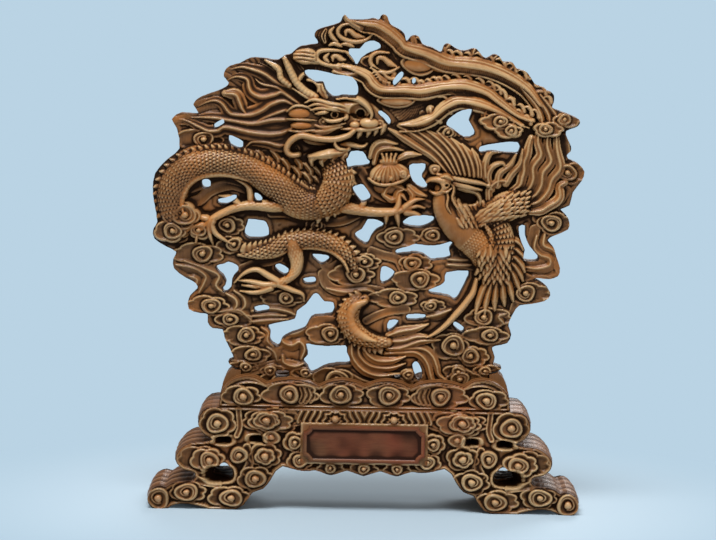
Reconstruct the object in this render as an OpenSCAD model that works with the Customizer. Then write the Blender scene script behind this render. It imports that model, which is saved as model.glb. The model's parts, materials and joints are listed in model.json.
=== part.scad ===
// Carved boxwood table screen: a pierced dragon and phoenix panel that lifts
// out of a tiered cloud stand. Units are millimetres, Z is up, the front faces -Y,
// and the origin is on the table under the middle of the stand.

/* [Panel] */
// Width of the carved panel at its widest
panel_w = 214; // [190:1:240]
// Height of the carved panel above the stand's rails
panel_h = 180; // [150:1:210]
// Thickness of the pierced ground board
panel_t = 8; // [6:0.5:11]
// Width of the panel's plain foot between the end rails
panel_foot_w = 123; // [112:1:126]
// Width of the tongue under the panel's foot
tongue_w = 104; // [80:1:108]

/* [Relief] */
// Depth of the cloud layer in front of the ground
cloud_relief = 5; // [3:0.5:6]
// Depth of the feather and mane layer
feather_relief = 6; // [4:0.5:9]
// Depth of the dragon's head
head_relief = 9; // [7:0.5:12]
// Extra depth of the raised middle of a head
brow_relief = 4; // [2:0.5:6]
// Height of the raised rings on the clouds
ring_relief = 1.2; // [0.6:0.2:2]
// Radius of the flaming pearl
pearl_r = 8.5; // [6:0.5:9]
// Room left behind the panel for the carving on its back
back_relief = 2; // [1:0.5:4]
// Gap between neighbouring carved blocks
seam = 0.3; // [0.2:0.05:0.5]

/* [Stand] */
// Height of the stand up to its ledge
stand_h = 51; // [44:1:60]
// Depth of the feet from front to back
stand_d = 58; // [52:1:72]
// Length of one foot, outward from the apron
foot_w = 66.5; // [58:0.5:76]
// Extra reach of the middle of a foot's end
foot_flare = 1.2; // [0:0.2:3]
// Distance between the two feet
apron_w = 80; // [72:1:84]
// Thickness of the front and rear aprons
apron_t = 8; // [6:0.5:10]
// How far the aprons stand back from the feet
apron_setback = 1; // [0.5:0.5:3]
// Height of the cloud rails above the ledge
rail_h = 15; // [11:0.5:18]
// How far the rails stand back from the front of the feet
rail_setback = 3; // [1.5:0.5:5]
// Thickness of the slotted board under the panel
board_t = 6; // [4:0.5:8]
// Length of the board's seat on each foot
board_seat = 24; // [18:1:28]
// Thickness of the batten under the slot
batten_t = 5; // [3:0.5:8]
// Depth of the batten
batten_d = 20; // [14:1:30]

/* [Plaque] */
// Width of the blank plaque
plaque_w = 60; // [40:1:66]
// Height of the plaque
plaque_h = 18; // [12:1:20]
// Thickness of the plaque
plaque_t = 3; // [2:0.25:4]
// How deep the plaque is let into the apron
plaque_inlet = 1.5; // [0.75:0.25:2]
// Width of the plaque's raised border
plaque_border = 2; // [1:0.25:3]
// Depth of the plaque's sunk field
plaque_sink = 0.8; // [0.4:0.2:1.2]

/* [Joints] */
// Running gap between the lifting panel and the stand
lift_fit = 0.4; // [0.25:0.05:0.8]
// Gap between glued blocks of the stand
glue_fit = 0.1; // [0.05:0.05:0.2]
// Length of the apron tenons
tenon_l = 8; // [5:0.5:12]
// Thickness of the apron tenons
tenon_t = 4; // [3:0.5:5]
// Height of the apron tenons
tenon_h = 16; // [10:1:18]
// Distance of the tenons below the ledge
tenon_drop = 7; // [6:0.5:9]
// Diameter of the bamboo pegs
peg_d = 3; // [2:0.25:3.5]
// Gap round a peg
peg_fit = 0.05; // [0.02:0.01:0.1]
// Length of a peg that holds a carved block to the ground
relief_peg_l = 7; // [5:0.5:8]
// Length of the pegs in the stand
stand_peg_l = 14; // [10:0.5:16]

/* [Hidden] */

// Steps round a circle
round_steps = 32;
$fn = round_steps;
// Steps round a corner that an inset or an outset rounds
corner_steps = 8;
wood = "peru";
dark_wood = "sienna";
pale_wood = "burlywood";
curve_steps = 2;
ridge_steps = 3;
far = 500;
// Inset and outset that tidy an outline joined from several curves
trim = 0.02;

// The ornament was drawn at these sizes, and is stretched to the sizes set above
drawn_panel_w = 214;
drawn_panel_h = 180;
drawn_sill = 66;
drawn_foot_w = 66.5;
drawn_foot_top = 32;
drawn_apron_w = 80;
drawn_stand_h = 51;
drawn_rail_w = 72;
drawn_rail_h = 15;

// How far a raised ring or brow is sunk into the block under it
sink = 0.5;
// How far the panel's foot and tongue run up into the panel
foot_lap = 2;
// How much a block is drawn in before its corners are rounded
inset = 1.5 * seam;
// Points round a scroll ring, its lobes and how far they bulge
oval_steps = 24;
lobe_count = 5;
lobe_bulge = 0.06;
// How far the wider middle of a foot stands back from its faces
flare_setback = 6;
// Place of the long rails' pegs, as a share of the apron's width
rail_peg_share = 0.33;
// How far the openings are drawn out downward, so that light passes when seen from a little above
opening_drop = 1.2;

// Scale of forms that keep their shape when the panel is stretched
panel_scale = min(panel_w / drawn_panel_w, panel_h / drawn_panel_h);
sill_z = stand_h + rail_h;
ground_y = panel_t / 2;
rail_half = apron_w / 2 + drawn_foot_top * foot_w / drawn_foot_w;
front_gap = ground_y + cloud_relief + ring_relief + lift_fit;
rear_gap = ground_y + back_relief + lift_fit;
rail_face = stand_d / 2 - rail_setback;
apron_y = stand_d / 2 - apron_setback - apron_t / 2;
board_half = apron_w / 2 + board_seat;
board_d = stand_d - 2 * (apron_setback + apron_t + glue_fit);
peg_hole_d = peg_d + 2 * peg_fit;
tongue_l = board_t - lift_fit;
tenon_z = stand_h - tenon_drop - tenon_h;

// Catmull-Rom curve through four neighbours
function knot(a, b, c, d, t) = 0.5 * (2 * b + (c - a) * t + (2 * a - 5 * b + 4 * c - d) * t * t
    + (3 * b - a - 3 * c + d) * t * t * t);
function loop(p, n = curve_steps) = let (k = len(p)) [for (i = [0:k - 1], j = [0:n - 1])
    knot(p[(i + k - 1) % k], p[i], p[(i + 1) % k], p[(i + 2) % k], j / n)];
function run(p, n = ridge_steps) = let (k = len(p)) concat([for (i = [0:k - 2], j = [0:n - 1])
    knot(p[max(i - 1, 0)], p[i], p[i + 1], p[min(i + 2, k - 1)], j / n)], [p[k - 1]]);

// A drawn point of the panel, of a foot and of a rail, at the sizes set above
function on_panel(p) = [p[0] * panel_w / drawn_panel_w,
    sill_z + (p[1] - drawn_sill) * panel_h / drawn_panel_h];
function on_foot(p, reach = 0) = [apron_w / 2 + p[0] * (foot_w + reach) / drawn_foot_w,
    p[1] * stand_h / drawn_stand_h];
function on_rail(p) = [p[0] * rail_half / drawn_rail_w, stand_h + p[1] * rail_h / drawn_rail_h];
function on_stand(p) = [p[0], p[1] * stand_h / drawn_stand_h];
function drawn(list) = [for (p = list) on_panel(p)];

// Outer edge of the panel, clockwise from the left end of the mane
edge = [[-98, 192], [-93.5, 195], [-84.5, 194.5], [-87.5, 199.5], [-84, 203], [-76, 206], [-72, 208],
    [-70, 210.5], [-72.5, 213.5], [-72, 216.5], [-70, 218.5], [-65, 220], [-60.5, 222.5], [-56.5, 223],
    [-51, 222.5], [-46, 222], [-42.5, 224.5], [-39.5, 225], [-35, 229], [-26, 230.5], [-28, 234],
    [-27, 237], [-21.5, 239], [-15.5, 241], [-14.5, 243.5], [-13, 245], [-11.5, 243], [-9, 242.5],
    [-4, 242.5], [1.5, 243.5], [4, 242.5], [4.5, 244.5], [6.5, 245.5], [8, 244], [9.5, 240.5],
    [13.5, 238.5], [16.5, 236], [17.5, 232], [20, 235], [23.5, 235], [25.5, 231], [30.5, 229.5],
    [35, 227], [36, 230.5], [38, 231.5], [39.5, 231], [42.5, 229], [46.5, 228], [51, 229.5],
    [53, 228.5], [55, 226], [57.5, 224.5], [60.5, 226.5], [63.5, 226], [65.5, 223], [70, 223],
    [72, 220], [75.5, 219], [77.5, 218], [80, 214.5], [82, 212], [86.5, 210.5], [87, 209], [89, 209],
    [91, 207], [91, 204], [90, 201], [94.5, 199], [103.5, 195.5], [103, 192], [97.5, 189.5], [98, 186],
    [100, 182], [100, 179.5], [98, 177.5], [99.5, 175], [103.5, 173.5], [107, 169.5], [105.5, 164.5],
    [101.5, 159], [100, 152.5], [95.5, 150.5], [98.5, 147.5], [100, 144.5], [99.5, 140.5], [93, 137.5],
    [89.5, 135], [92.5, 131.5], [94, 127], [96, 121], [95, 117], [90.5, 115.5], [85.5, 116],
    [82.5, 115.5], [86, 114], [90, 111], [91.5, 107.5], [88.5, 104.5], [82, 103], [76, 102],
    [73.5, 98.5], [71.5, 94.5], [71, 91.5], [72.5, 87.5], [70.5, 83], [64.5, 81.5], [63, 80],
    [64.5, 76], [63.5, 72], [62, 68], [-65.5, 68], [-65.5, 72.5], [-67.5, 77.5], [-70.5, 83.5],
    [-71.5, 87.5], [-76.5, 88], [-79, 91], [-79, 95], [-83, 95.5], [-88.5, 97.5], [-88.5, 103],
    [-84.5, 107], [-85, 110.5], [-90, 113], [-96, 117.5], [-96.5, 122.5], [-95, 126], [-100, 128.5],
    [-106, 132.5], [-106.5, 137.5], [-104.5, 141], [-106, 150], [-107, 157], [-106, 165],
    [-100.5, 171.5], [-94, 177.5], [-95.5, 187.5]];

// Pierced openings between the carved forms
openings = [
    [[-77.5, 189.5], [-73, 192.5], [-72, 191.5], [-76, 189]],
    [[-70, 184], [-68, 184.5], [-62.5, 181.5], [-64, 179], [-69, 181]],
    [[-33, 217], [-26.5, 217.5], [-17, 215.5], [-9, 214.5], [-6, 209.5], [-7, 206], [-13, 206.5],
        [-18, 205.5], [-22, 209], [-23.5, 213], [-27, 212.5]],
    [[-11, 227], [-10, 228.5], [-5.5, 228.5], [-3, 231.5], [1.5, 232.5], [5, 230], [-1, 227.5],
        [-5, 224.5], [-7, 221], [-8.5, 224]],
    [[11, 213], [15, 217.5], [16.5, 216.5], [12.5, 211.5]],
    [[20.5, 213.5], [21.5, 214.8], [22.8, 213.5], [21.5, 212.3]],
    [[55, 181], [64.5, 183], [73.5, 183.5], [74, 179], [61, 180], [55.5, 179]],
    [[-75.5, 152], [-71.5, 153.5], [-66.5, 155], [-65.5, 154], [-70.5, 151]],
    [[-59.5, 143], [-53.5, 142.5], [-50.5, 141.5], [-49, 136], [-53, 134.5], [-59, 134.5], [-61.5, 136.5],
        [-60, 140.5]],
    [[-57, 155.5], [-55, 156], [-52.5, 153.5], [-55.5, 152.5]],
    [[-83.2, 161], [-81.2, 162.8], [-78.6, 161.8], [-78.8, 159.5], [-81.6, 158.9]],
    [[4, 197.5], [5.5, 198], [9, 195.5], [10.5, 193], [9.5, 192], [7, 195]],
    [[-9, 177.5], [-3, 177.5], [-1, 174], [0.5, 172], [-7, 171], [-13, 170], [-14.5, 171.5],
        [-10.5, 174.5]],
    [[20, 171], [24, 172], [28, 172], [28, 169.5], [26, 166], [29.5, 161.5], [26.5, 161], [22, 164]],
    [[-8, 160], [-5, 161], [-2.5, 161], [1, 156], [0, 154.5], [-3, 153.5], [-5.5, 156]],
    [[38, 192.5], [41, 196], [46, 199], [51, 199.5], [49, 194], [52.5, 188], [47, 186.5], [42, 190]],
    [[75, 141.5], [78.5, 142], [78.5, 137.5], [80.5, 132], [85, 127], [84.5, 125.5], [77.5, 126],
        [78.5, 130.5], [76.5, 135]],
    [[-75.5, 119], [-71, 120.5], [-69, 121.5], [-65, 120], [-64, 118], [-67, 114.5], [-67.5, 109.5],
        [-70.5, 107], [-72, 108], [-70, 110.5], [-71.5, 115]],
    [[-46, 119.5], [-43.5, 121], [-39, 118.5], [-40, 116.5], [-42, 116.5]],
    [[-27.5, 126], [-23, 126], [-20, 125.5], [-19, 124.5], [-22.5, 122], [-25.5, 124]],
    [[-32, 113.5], [-28.5, 114.5], [-26, 114.5], [-25.5, 112.5], [-30, 112]],
    [[-26.5, 106], [-24, 106], [-21, 102.5], [-16.5, 102], [-17, 97], [-25.5, 96], [-28.5, 93.5],
        [-30.5, 89.5], [-37, 87], [-42, 84], [-43, 80.5], [-45.5, 81], [-48, 83.5], [-47.5, 87.5],
        [-49, 90], [-41.5, 92], [-35.5, 93.5], [-34.5, 97.5], [-30, 101]],
    [[-30, 81], [-26, 80.5], [-19, 80], [-10, 80.5], [-9.5, 77.5], [-7.5, 72.5], [-12, 72],
        [-18.5, 71], [-22, 69.5], [-27, 67], [-29, 70.5], [-31, 73], [-28.5, 76]],
    [[-45, 66.2], [-44, 67.3], [-39, 67.4], [-38, 66.4], [-39, 65.2], [-44, 65.1]],
    [[-56, 99], [-51, 100.2], [-48.5, 99.5], [-49, 98], [-55, 97]],
    [[39.5, 118], [50.5, 119], [49.5, 114.5], [46.5, 108], [44.2, 105], [41, 107], [34.8, 108],
        [30.5, 109], [36.5, 111.5], [39, 114]],
    [[14.5, 129], [21, 131], [23.7, 132], [30, 131.3], [36, 131.8], [43, 134], [40.2, 130],
        [41.5, 126.5], [34.5, 125.2], [31.5, 125.2], [27.5, 128], [22.5, 128.5], [15, 127.5]],
    [[17.5, 143.2], [21, 145.7], [24, 146.5], [32, 146], [32.5, 144.2], [26.5, 141.3], [18.5, 142.3]],
    [[-0.5, 143.3], [0.5, 144], [4.5, 143.7], [8, 141.7], [5, 140], [2, 136.8], [0.2, 132.8],
        [-2, 133], [-6.5, 136.5], [-3, 139]],
    [[7, 119.5], [8.5, 120.5], [10, 120.3], [13.8, 117.8], [11, 114.2], [7, 113.2]],
    [[11.5, 93.5], [16.3, 93.5], [13, 89.5], [10.5, 89.5]],
    [[21, 96.7], [29, 96.8], [29, 95], [20.5, 94.8]],
    [[44.7, 93.4], [49.2, 90.2], [47.5, 88.8], [43.5, 92]],
    [[23.5, 71.5], [25.5, 73], [27.2, 71], [28.5, 67], [26.7, 64.4], [25, 66.5]],
    [[14.2, 65.7], [15.8, 66.8], [18, 66], [16, 65.2]]];

// Regions of the carved layer in front of the ground
mane_area = [[-102, 190], [-102, 226], [-40, 227.5], [-33, 217], [-24, 213], [-22.5, 207.5], [-28, 204],
    [-34, 199], [-37, 190], [-36, 178], [-62, 176.5], [-70, 179], [-78, 188]];
head_area = [[-22, 207], [-18, 205], [-7, 206], [2, 203], [7.5, 197], [8.5, 193.5], [8, 190], [7, 186.5],
    [3, 183], [-2, 178.5], [-9, 178.5], [-25, 181.5], [-36, 178.5], [-36.5, 190], [-33.5, 199],
    [-27.5, 203.5]];
head_crown = [[-24, 203], [-16, 203.5], [-8, 203], [0, 200], [6, 195], [7, 191], [-2, 190], [-14, 188],
    [-26, 190], [-29, 197]];
upper_plume_area = [[-40, 228], [-40, 250], [95, 250], [95, 204], [91.5, 199.5], [86, 198], [78, 202.5],
    [68, 209], [58, 213], [46, 214.5], [33, 214.5], [21, 214], [10, 215.5], [2, 218.5], [-6, 222],
    [-13, 222.5], [-30, 224]];
middle_plume_area = [[-40, 227.5], [-30, 223.5], [-13, 222], [-6, 221.5], [2, 218], [10, 215], [21, 213.5],
    [33, 214], [46, 214], [58, 212.5], [68, 208.5], [78, 202], [85.5, 197.5], [78, 193], [70, 197],
    [62, 202], [54, 205.5], [43, 207], [34, 205.5], [24, 203.5], [13, 203.5], [4, 206], [-2, 210],
    [-4.5, 214.5], [-20, 218], [-32, 217.5], [-38, 224]];
lower_plume_area = [[3, 205.5], [13, 203], [24, 203], [34, 205], [43, 206.5], [54, 205], [62, 201.5],
    [70, 196.5], [77, 192.5], [71, 187], [62, 190], [54, 196], [50, 200.5], [40, 198], [36, 192],
    [30, 190.5], [22, 191], [14, 194], [10, 198]];
crest_area = [[9.5, 190.5], [14, 193], [22, 190.5], [31, 190], [40, 187], [46, 185], [52, 181.5],
    [55, 176.5], [57, 168], [56, 165], [41, 164.7], [37, 168.7], [33, 171.5], [28, 173.5], [20, 178.5],
    [12.5, 185]];
bird_head_area = [[27.5, 164.5], [31, 168.5], [33, 171], [37, 168.2], [41, 164.2], [56, 164.3],
    [57.2, 163], [58.8, 158.6], [45, 159], [40.5, 157.5], [31.5, 157.5], [29, 161]];
wing_area = [[63, 141], [73, 141.5], [75.5, 135], [77, 129], [76, 122], [76.5, 114], [73, 103],
    [67, 102], [60, 97.5], [54, 97.5], [55, 104], [56, 113], [57.5, 117.5], [66, 121], [66.5, 131]];
rump_area = [[57, 165.5], [57.5, 176], [55, 185], [70, 186], [77.5, 191.5], [86, 197], [92, 198.5],
    [97, 189], [101, 180], [97.5, 176], [91, 171], [92, 161], [90, 152], [84, 147], [77, 143],
    [73, 142], [62, 141.5], [56, 146], [60.5, 157]];
tuft_area = [[-9.5, 80.5], [-7.5, 72], [-3, 67], [4, 63.5], [14, 62.5], [22, 66], [25, 70], [26, 74.5],
    [29, 75], [32.5, 71], [33, 66], [35, 60.5], [42, 59.5], [43, 64], [38.5, 66], [37.5, 71],
    [34, 77], [37, 81], [37.5, 85], [29, 84], [25, 89], [33, 93], [22, 91.5], [13, 88], [12, 78.5],
    [2, 77.5], [-3, 81]];

// Half-round members: each point is across, up, half-width and height off the ground
upper_coil = [[-17, 174, 5.5, 9], [-16, 162, 6.5, 11], [-19, 154, 6.8, 12], [-28, 150.5, 6.8, 12],
    [-36, 153, 6.8, 12], [-45, 160, 6.8, 11.5], [-55, 166, 6.8, 11], [-65, 169.5, 6.8, 11],
    [-76, 170.5, 6.6, 11], [-87, 168.5, 6.5, 11], [-96, 162, 6.5, 11], [-99.8, 153, 6.3, 10],
    [-98.5, 145, 5.8, 9]];
lower_coil = [[-58, 127, 3.6, 7], [-47, 128, 4.2, 8], [-38.5, 132, 4.4, 9], [-27, 133.5, 4.6, 9],
    [-16, 131, 4.5, 9], [-9, 125, 4.2, 8], [-6, 120, 3.6, 7]];
tail_coil = [[-1, 104, 2.6, 6], [-6.5, 101, 3.4, 8], [-9, 95, 3.8, 8.5], [-6.5, 88.5, 3.8, 8.5],
    [-1, 84.5, 3.4, 8], [5, 82.6, 3.2, 7.5], [10, 82.6, 2.8, 6.5]];
left_foreleg = [[-49, 149, 3.2, 8], [-56.5, 150, 3, 8.5], [-64.5, 148.7, 2.8, 8.5], [-71, 146, 2.6, 8.5],
    [-77.5, 142.5, 2.5, 8], [-81.5, 139, 2.4, 8], [-84, 135, 2.2, 7], [-85, 131, 1.4, 6]];
right_foreleg = [[-8.5, 149.5, 3, 8], [-2, 148.3, 2.6, 8], [5, 147.5, 2.4, 8], [12, 148, 2.4, 8.5],
    [18, 149.5, 2, 7.5], [23, 151, 1.4, 6]];
hind_leg = [[-36.5, 125.5, 3.4, 9], [-35, 121, 3, 8.5], [-36, 116.5, 2.2, 8], [-40.5, 113, 2, 7.5],
    [-46, 110.8, 1.8, 7], [-52, 109.5, 1.2, 6]];
bird_body = [[35.5, 155.5, 3.4, 7], [36.5, 150, 4.6, 8.5], [41, 144.5, 6.6, 10.5], [48, 138.5, 8, 11.5],
    [55, 132, 8, 11], [59, 125, 7, 9.5], [61, 118.5, 5.2, 7]];
streamer = [[54.5, 113.5, 1.3, 5], [53, 108.5, 1.5, 6], [50.5, 104.5, 1.6, 6.5], [47.5, 100.5, 1.6, 6.5],
    [44.5, 97, 1.6, 6.5], [41, 93, 1.6, 6.5], [37, 89.3, 1.5, 6], [33, 86.7, 1.1, 5], [30.5, 85.7, 0.7, 4]];
ridges = [upper_coil, lower_coil, tail_coil, left_foreleg, right_foreleg, hind_leg, bird_body, streamer];
pearl_at = [9, 166.5];
areas = [mane_area, head_area, upper_plume_area, middle_plume_area, lower_plume_area, crest_area,
    bird_head_area, wing_area, rump_area, tuft_area];

// Cloud scrolls on the panel: across, up, half-width, half-height
scrolls = [[-83, 182, 10, 4.5], [-96.5, 135, 8.5, 4.5], [-83, 124.5, 11, 4.5], [-76, 99.3, 9, 4.5],
    [-63, 84.5, 7, 5], [-57.5, 75, 7, 4], [-40, 103.8, 6, 3.5], [-18.5, 86, 8.5, 4], [-2, 122.3, 8, 3.5],
    [-6, 116, 9, 4.5], [14, 135.3, 8.5, 4.2], [23, 121.5, 6.5, 4], [25, 114.2, 9, 4.5],
    [32.5, 136.2, 5, 3], [50.5, 129, 4, 3], [92, 143.5, 7, 4.5], [80, 108.2, 8.5, 4.5],
    [99, 168.5, 6, 4.2], [96, 195.2, 5.5, 3], [57, 95.5, 9, 4], [61, 86.5, 8, 3.6], [53, 76, 5.5, 3.5],
    [44, 81.5, 6.5, 4.5]];

// Pegs that hold the carved blocks to the ground: across and up
mane_pegs = [[-62, 206], [-48, 188]];
head_pegs = [[-24, 194], [-2, 193]];
upper_coil_pegs = [[-28, 150.5], [-65, 169.5], [-96, 162]];
lower_coil_pegs = [[-32.5, 133], [-47, 128]];
tail_pegs = [[-9, 95]];
tuft_pegs = [[10, 73]];
left_foreleg_pegs = [[-64.5, 148.7]];
right_foreleg_pegs = [[12, 148]];
hind_leg_pegs = [[-35.6, 123]];
pearl_pegs = [[9, 166.5]];
bird_head_pegs = [[36, 162.5]];
crest_pegs = [[44, 174]];
bird_body_pegs = [[48, 138.5], [57, 128.5]];
wing_pegs = [[64, 112]];
upper_plume_pegs = [[8, 236], [62, 218]];
middle_plume_pegs = [[28, 208], [60, 207.5]];
lower_plume_pegs = [[26, 197], [62, 196]];
rump_pegs = [[70, 152], [86, 178]];
upper_left_pegs = [[-83, 182]];
left_pegs = [[-94, 134.5], [-83, 124.5]];
lower_left_pegs = [[-62, 84.5]];
upper_middle_pegs = [[-27, 164]];
middle_pegs = [[-6, 115.5]];
lower_middle_pegs = [[-18.5, 86]];
upper_right_pegs = [[98, 168.5]];
right_pegs = [[91, 143.5], [24, 115]];
lower_right_pegs = [[57, 91.5], [60, 86.5]];
all_relief_pegs = concat(mane_pegs, head_pegs, upper_coil_pegs, lower_coil_pegs, tail_pegs, tuft_pegs,
    left_foreleg_pegs, right_foreleg_pegs, hind_leg_pegs, pearl_pegs, bird_head_pegs, crest_pegs,
    bird_body_pegs, wing_pegs, upper_plume_pegs, middle_plume_pegs, lower_plume_pegs, rump_pegs,
    upper_left_pegs, left_pegs, lower_left_pegs, upper_middle_pegs, middle_pegs, lower_middle_pegs,
    upper_right_pegs, right_pegs, lower_right_pegs);

// Field that the clouds fill, and the cuts between their nine groups
field_left = -120;
field_right = 120;
field_low = 30;
field_high = 260;
cut_left = -48;
cut_right = 12;
cut_low = 95;
cut_high = 147;

// Profile of a foot, outward from the apron and up from the table
foot_edge = [[0, 51], [0, 51], [32, 51], [32, 51], [38, 50.5], [41.5, 46.5], [42, 42], [39.5, 37.5],
    [35.5, 35.5], [35.5, 34.5], [40, 33.5], [45.5, 33], [50, 30.5], [53, 26.5], [52.5, 22.5], [49, 19.5],
    [44.5, 18.5], [43, 16.5], [45, 14], [51, 13.5], [55, 12.3], [57.5, 10.5], [60.5, 11.3], [64.3, 9.8],
    [66.5, 6.3], [66.3, 2.5], [64.5, 0], [64.5, 0], [57, 0], [57, 0], [53, 2], [46, 2.2], [39, 0.8],
    [37, 0], [37, 0], [23, 0], [23, 0], [19.5, 2], [17, 5.5], [14.5, 8.8], [9.6, 10.6], [6, 15],
    [3.5, 19.5], [0, 22], [0, 22]];
foot_eye = [[24.5, 17.5], [26.5, 22], [30, 23.5], [32, 21], [34.5, 17.5], [34, 15.5], [26, 15]];
foot_scrolls = [[8, 44.8, 12.5, 5.4], [32.7, 43, 7, 7], [37.4, 24.6, 9, 5.2], [21.8, 27.3, 3.7, 3.7],
    [9, 27, 6.4, 5], [13.6, 15.8, 8, 5], [26.3, 6, 9, 4.8], [47.3, 8.6, 7, 4.4], [61.5, 5, 4.5, 4.5]];
rail_edge = [[0, 11], [5, 13], [12, 14], [19, 12.5], [23, 10.5], [27, 12.5], [37, 14], [46, 12.5],
    [49, 11.5], [53, 14], [58, 15], [64, 14], [69, 10.5], [71.5, 6], [72, 0], [72, 0]];
rail_scrolls = [[12, 7.8, 9, 4.6], [37, 7, 11.5, 5.2], [60.5, 5.6, 8, 4.6]];
apron_edge = [[40, 22], [36, 21], [31, 20], [27, 19.8], [24, 20.3], [20.5, 19.3], [16.5, 18], [12.5, 19],
    [8.2, 20.3], [4, 19], [0, 17.8]];
plaque_mid = 34;
plaque_nick = 3;

// Flat outlines
module tidy() {
    offset(delta = trim) offset(delta = -trim) children();
}

module panel_outline() {
    difference() {
        union() {
            polygon(loop(drawn(edge)));
            translate([-panel_foot_w / 2, stand_h]) square([panel_foot_w, rail_h + foot_lap]);
        }
        below = sill_z + seam;
        for (s = [-1, 1]) {
            translate([s > 0 ? panel_foot_w / 2 : -panel_foot_w / 2 - far, below - far]) square([far, far]);
        }
        for (hole = openings, part = [0, 0.5, 1]) translate([0, -part * opening_drop])
            polygon(loop(drawn(hole)));
    }
}

module tongue_outline() {
    translate([-tongue_w / 2, stand_h - tongue_l]) square([tongue_w, tongue_l + foot_lap]);
}

function members(path) = run([for (p = path) concat(on_panel(p), [p[2] * panel_scale, p[3]])]);
function across(q, i) = let (a = q[max(i - 1, 0)], b = q[min(i + 1, len(q) - 1)],
    d = [b[0] - a[0], b[1] - a[1]]) [-d[1], d[0]] / norm(d);

module ridge_outline(path) {
    q = members(path);
    n = len(q);
    polygon(concat([for (i = [0:n - 1]) [q[i][0], q[i][1]] + across(q, i) * q[i][2]],
        [for (i = [n - 1:-1:0]) [q[i][0], q[i][1]] - across(q, i) * q[i][2]]));
}

module figures_outline() {
    for (a = areas) polygon(drawn(a));
    ridges_outline();
}

module ridges_outline() {
    for (r = ridges) ridge_outline(r);
    translate(on_panel(pearl_at)) circle(r = pearl_r, $fn = round_steps);
}

module area_outline(area) {
    offset(r = seam, $fn = corner_steps) offset(r = -inset, $fn = corner_steps) difference() {
        intersection() {
            panel_outline();
            polygon(drawn(area));
        }
        offset(r = seam, $fn = corner_steps) ridges_outline();
    }
}

module cloud_outline(low, high) {
    offset(r = seam, $fn = corner_steps) offset(r = -inset, $fn = corner_steps) difference() {
        intersection() {
            panel_outline();
            translate(on_panel(low)) square(on_panel(high) - on_panel(low));
        }
        offset(r = seam, $fn = corner_steps) figures_outline();
    }
}

module oval(half_w, half_h) {
    polygon([for (i = [0:oval_steps - 1])
        let (a = 360 * i / oval_steps, k = 1 + lobe_bulge * cos(lobe_count * a))
        [half_w * k * cos(a), half_h * k * sin(a)]]);
}

// Solids raised from the ground
module raised(depth, from = 0) {
    translate([0, -ground_y - from, 0]) rotate([90, 0, 0]) linear_extrude(depth) children();
}

module peg_holes(pegs) {
    for (p = pegs) peg(p, peg_hole_d);
}

module peg(p, d) {
    at = on_panel(p);
    translate([at[0], -ground_y + relief_peg_l / 2, at[1]]) rotate([90, 0, 0])
        cylinder(d = d, h = relief_peg_l);
}

module block(area, depth, pegs) {
    difference() {
        raised(depth) area_outline(area);
        peg_holes(pegs);
    }
}

module cloud_block(low, high, pegs) {
    difference() {
        union() {
            raised(cloud_relief) cloud_outline(low, high);
            raised(ring_relief + sink, cloud_relief - sink) intersection() {
                cloud_outline(low, high);
                scroll_rings();
            }
        }
        peg_holes(pegs);
    }
}

module scroll_rings() {
    for (s = scrolls) translate(on_panel(s))
        oval(s[2] * panel_scale, s[3] * panel_scale);
}

// Half-round bar along a curve, with a flat back on the ground
module ridge(path, pegs) {
    section = [[-1, 0], [-1, 0.4], [-0.72, 0.8], [0, 1], [0.72, 0.8], [1, 0.4], [1, 0]];
    q = members(path);
    n = len(q);
    m = len(section);
    points = [for (i = [0:n - 1], s = section) let (side = across(q, i) * q[i][2] * s[0])
        [q[i][0] + side[0], -ground_y - q[i][3] * s[1], q[i][1] + side[1]]];
    skin = [for (i = [0:n - 2], k = [0:m - 1]) let (a = i * m + k, b = i * m + (k + 1) % m)
        each [[a, b, b + m], [a, b + m, a + m]]];
    first = [for (k = [1:m - 2]) [0, k + 1, k]];
    last = [for (k = [1:m - 2]) (n - 1) * m * [1, 1, 1] + [0, k, k + 1]];
    difference() {
        polyhedron(points, concat(skin, first, last));
        peg_holes(pegs);
    }
}

// Sub-parts of the screen
module ground_board() {
    color(dark_wood) difference() {
        translate([0, ground_y, 0]) rotate([90, 0, 0]) linear_extrude(panel_t) tidy() {
            panel_outline();
            tongue_outline();
        }
        peg_holes(all_relief_pegs);
    }
}

module dragon_mane() { color(wood) block(mane_area, feather_relief, mane_pegs); }

module dragon_head() {
    color(pale_wood) difference() {
        union() {
            raised(head_relief) area_outline(head_area);
            raised(brow_relief + sink, head_relief - sink) intersection() {
                area_outline(head_area);
                polygon(drawn(head_crown));
            }
        }
        peg_holes(head_pegs);
    }
}

module dragon_body() { color(wood) ridge(upper_coil, upper_coil_pegs); }

module dragon_lower_coil() { color(wood) ridge(lower_coil, lower_coil_pegs); }

module dragon_tail() { color(pale_wood) ridge(tail_coil, tail_pegs); }

module dragon_tail_tuft() { color(wood) block(tuft_area, cloud_relief, tuft_pegs); }

module dragon_left_foreleg() { color(wood) ridge(left_foreleg, left_foreleg_pegs); }

module dragon_right_foreleg() { color(wood) ridge(right_foreleg, right_foreleg_pegs); }

module dragon_hind_leg() { color(pale_wood) ridge(hind_leg, hind_leg_pegs); }

module flaming_pearl() {
    at = on_panel(pearl_at);
    color(pale_wood) difference() {
        translate([at[0], -ground_y, at[1]]) intersection() {
            sphere(r = pearl_r);
            translate([-pearl_r, -2 * pearl_r, -pearl_r]) cube(2 * pearl_r);
        }
        peg_holes(pearl_pegs);
    }
}

module phoenix_head() { color(pale_wood) block(bird_head_area, head_relief, bird_head_pegs); }

module phoenix_crest() { color(pale_wood) block(crest_area, feather_relief, crest_pegs); }

module phoenix_body() { color(pale_wood) ridge(bird_body, bird_body_pegs); }

module phoenix_wing() { color(wood) block(wing_area, feather_relief, wing_pegs); }

module phoenix_upper_plume() { color(wood) block(upper_plume_area, feather_relief, upper_plume_pegs); }

module phoenix_middle_plume() { color(wood) block(middle_plume_area, feather_relief, middle_plume_pegs); }

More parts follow.
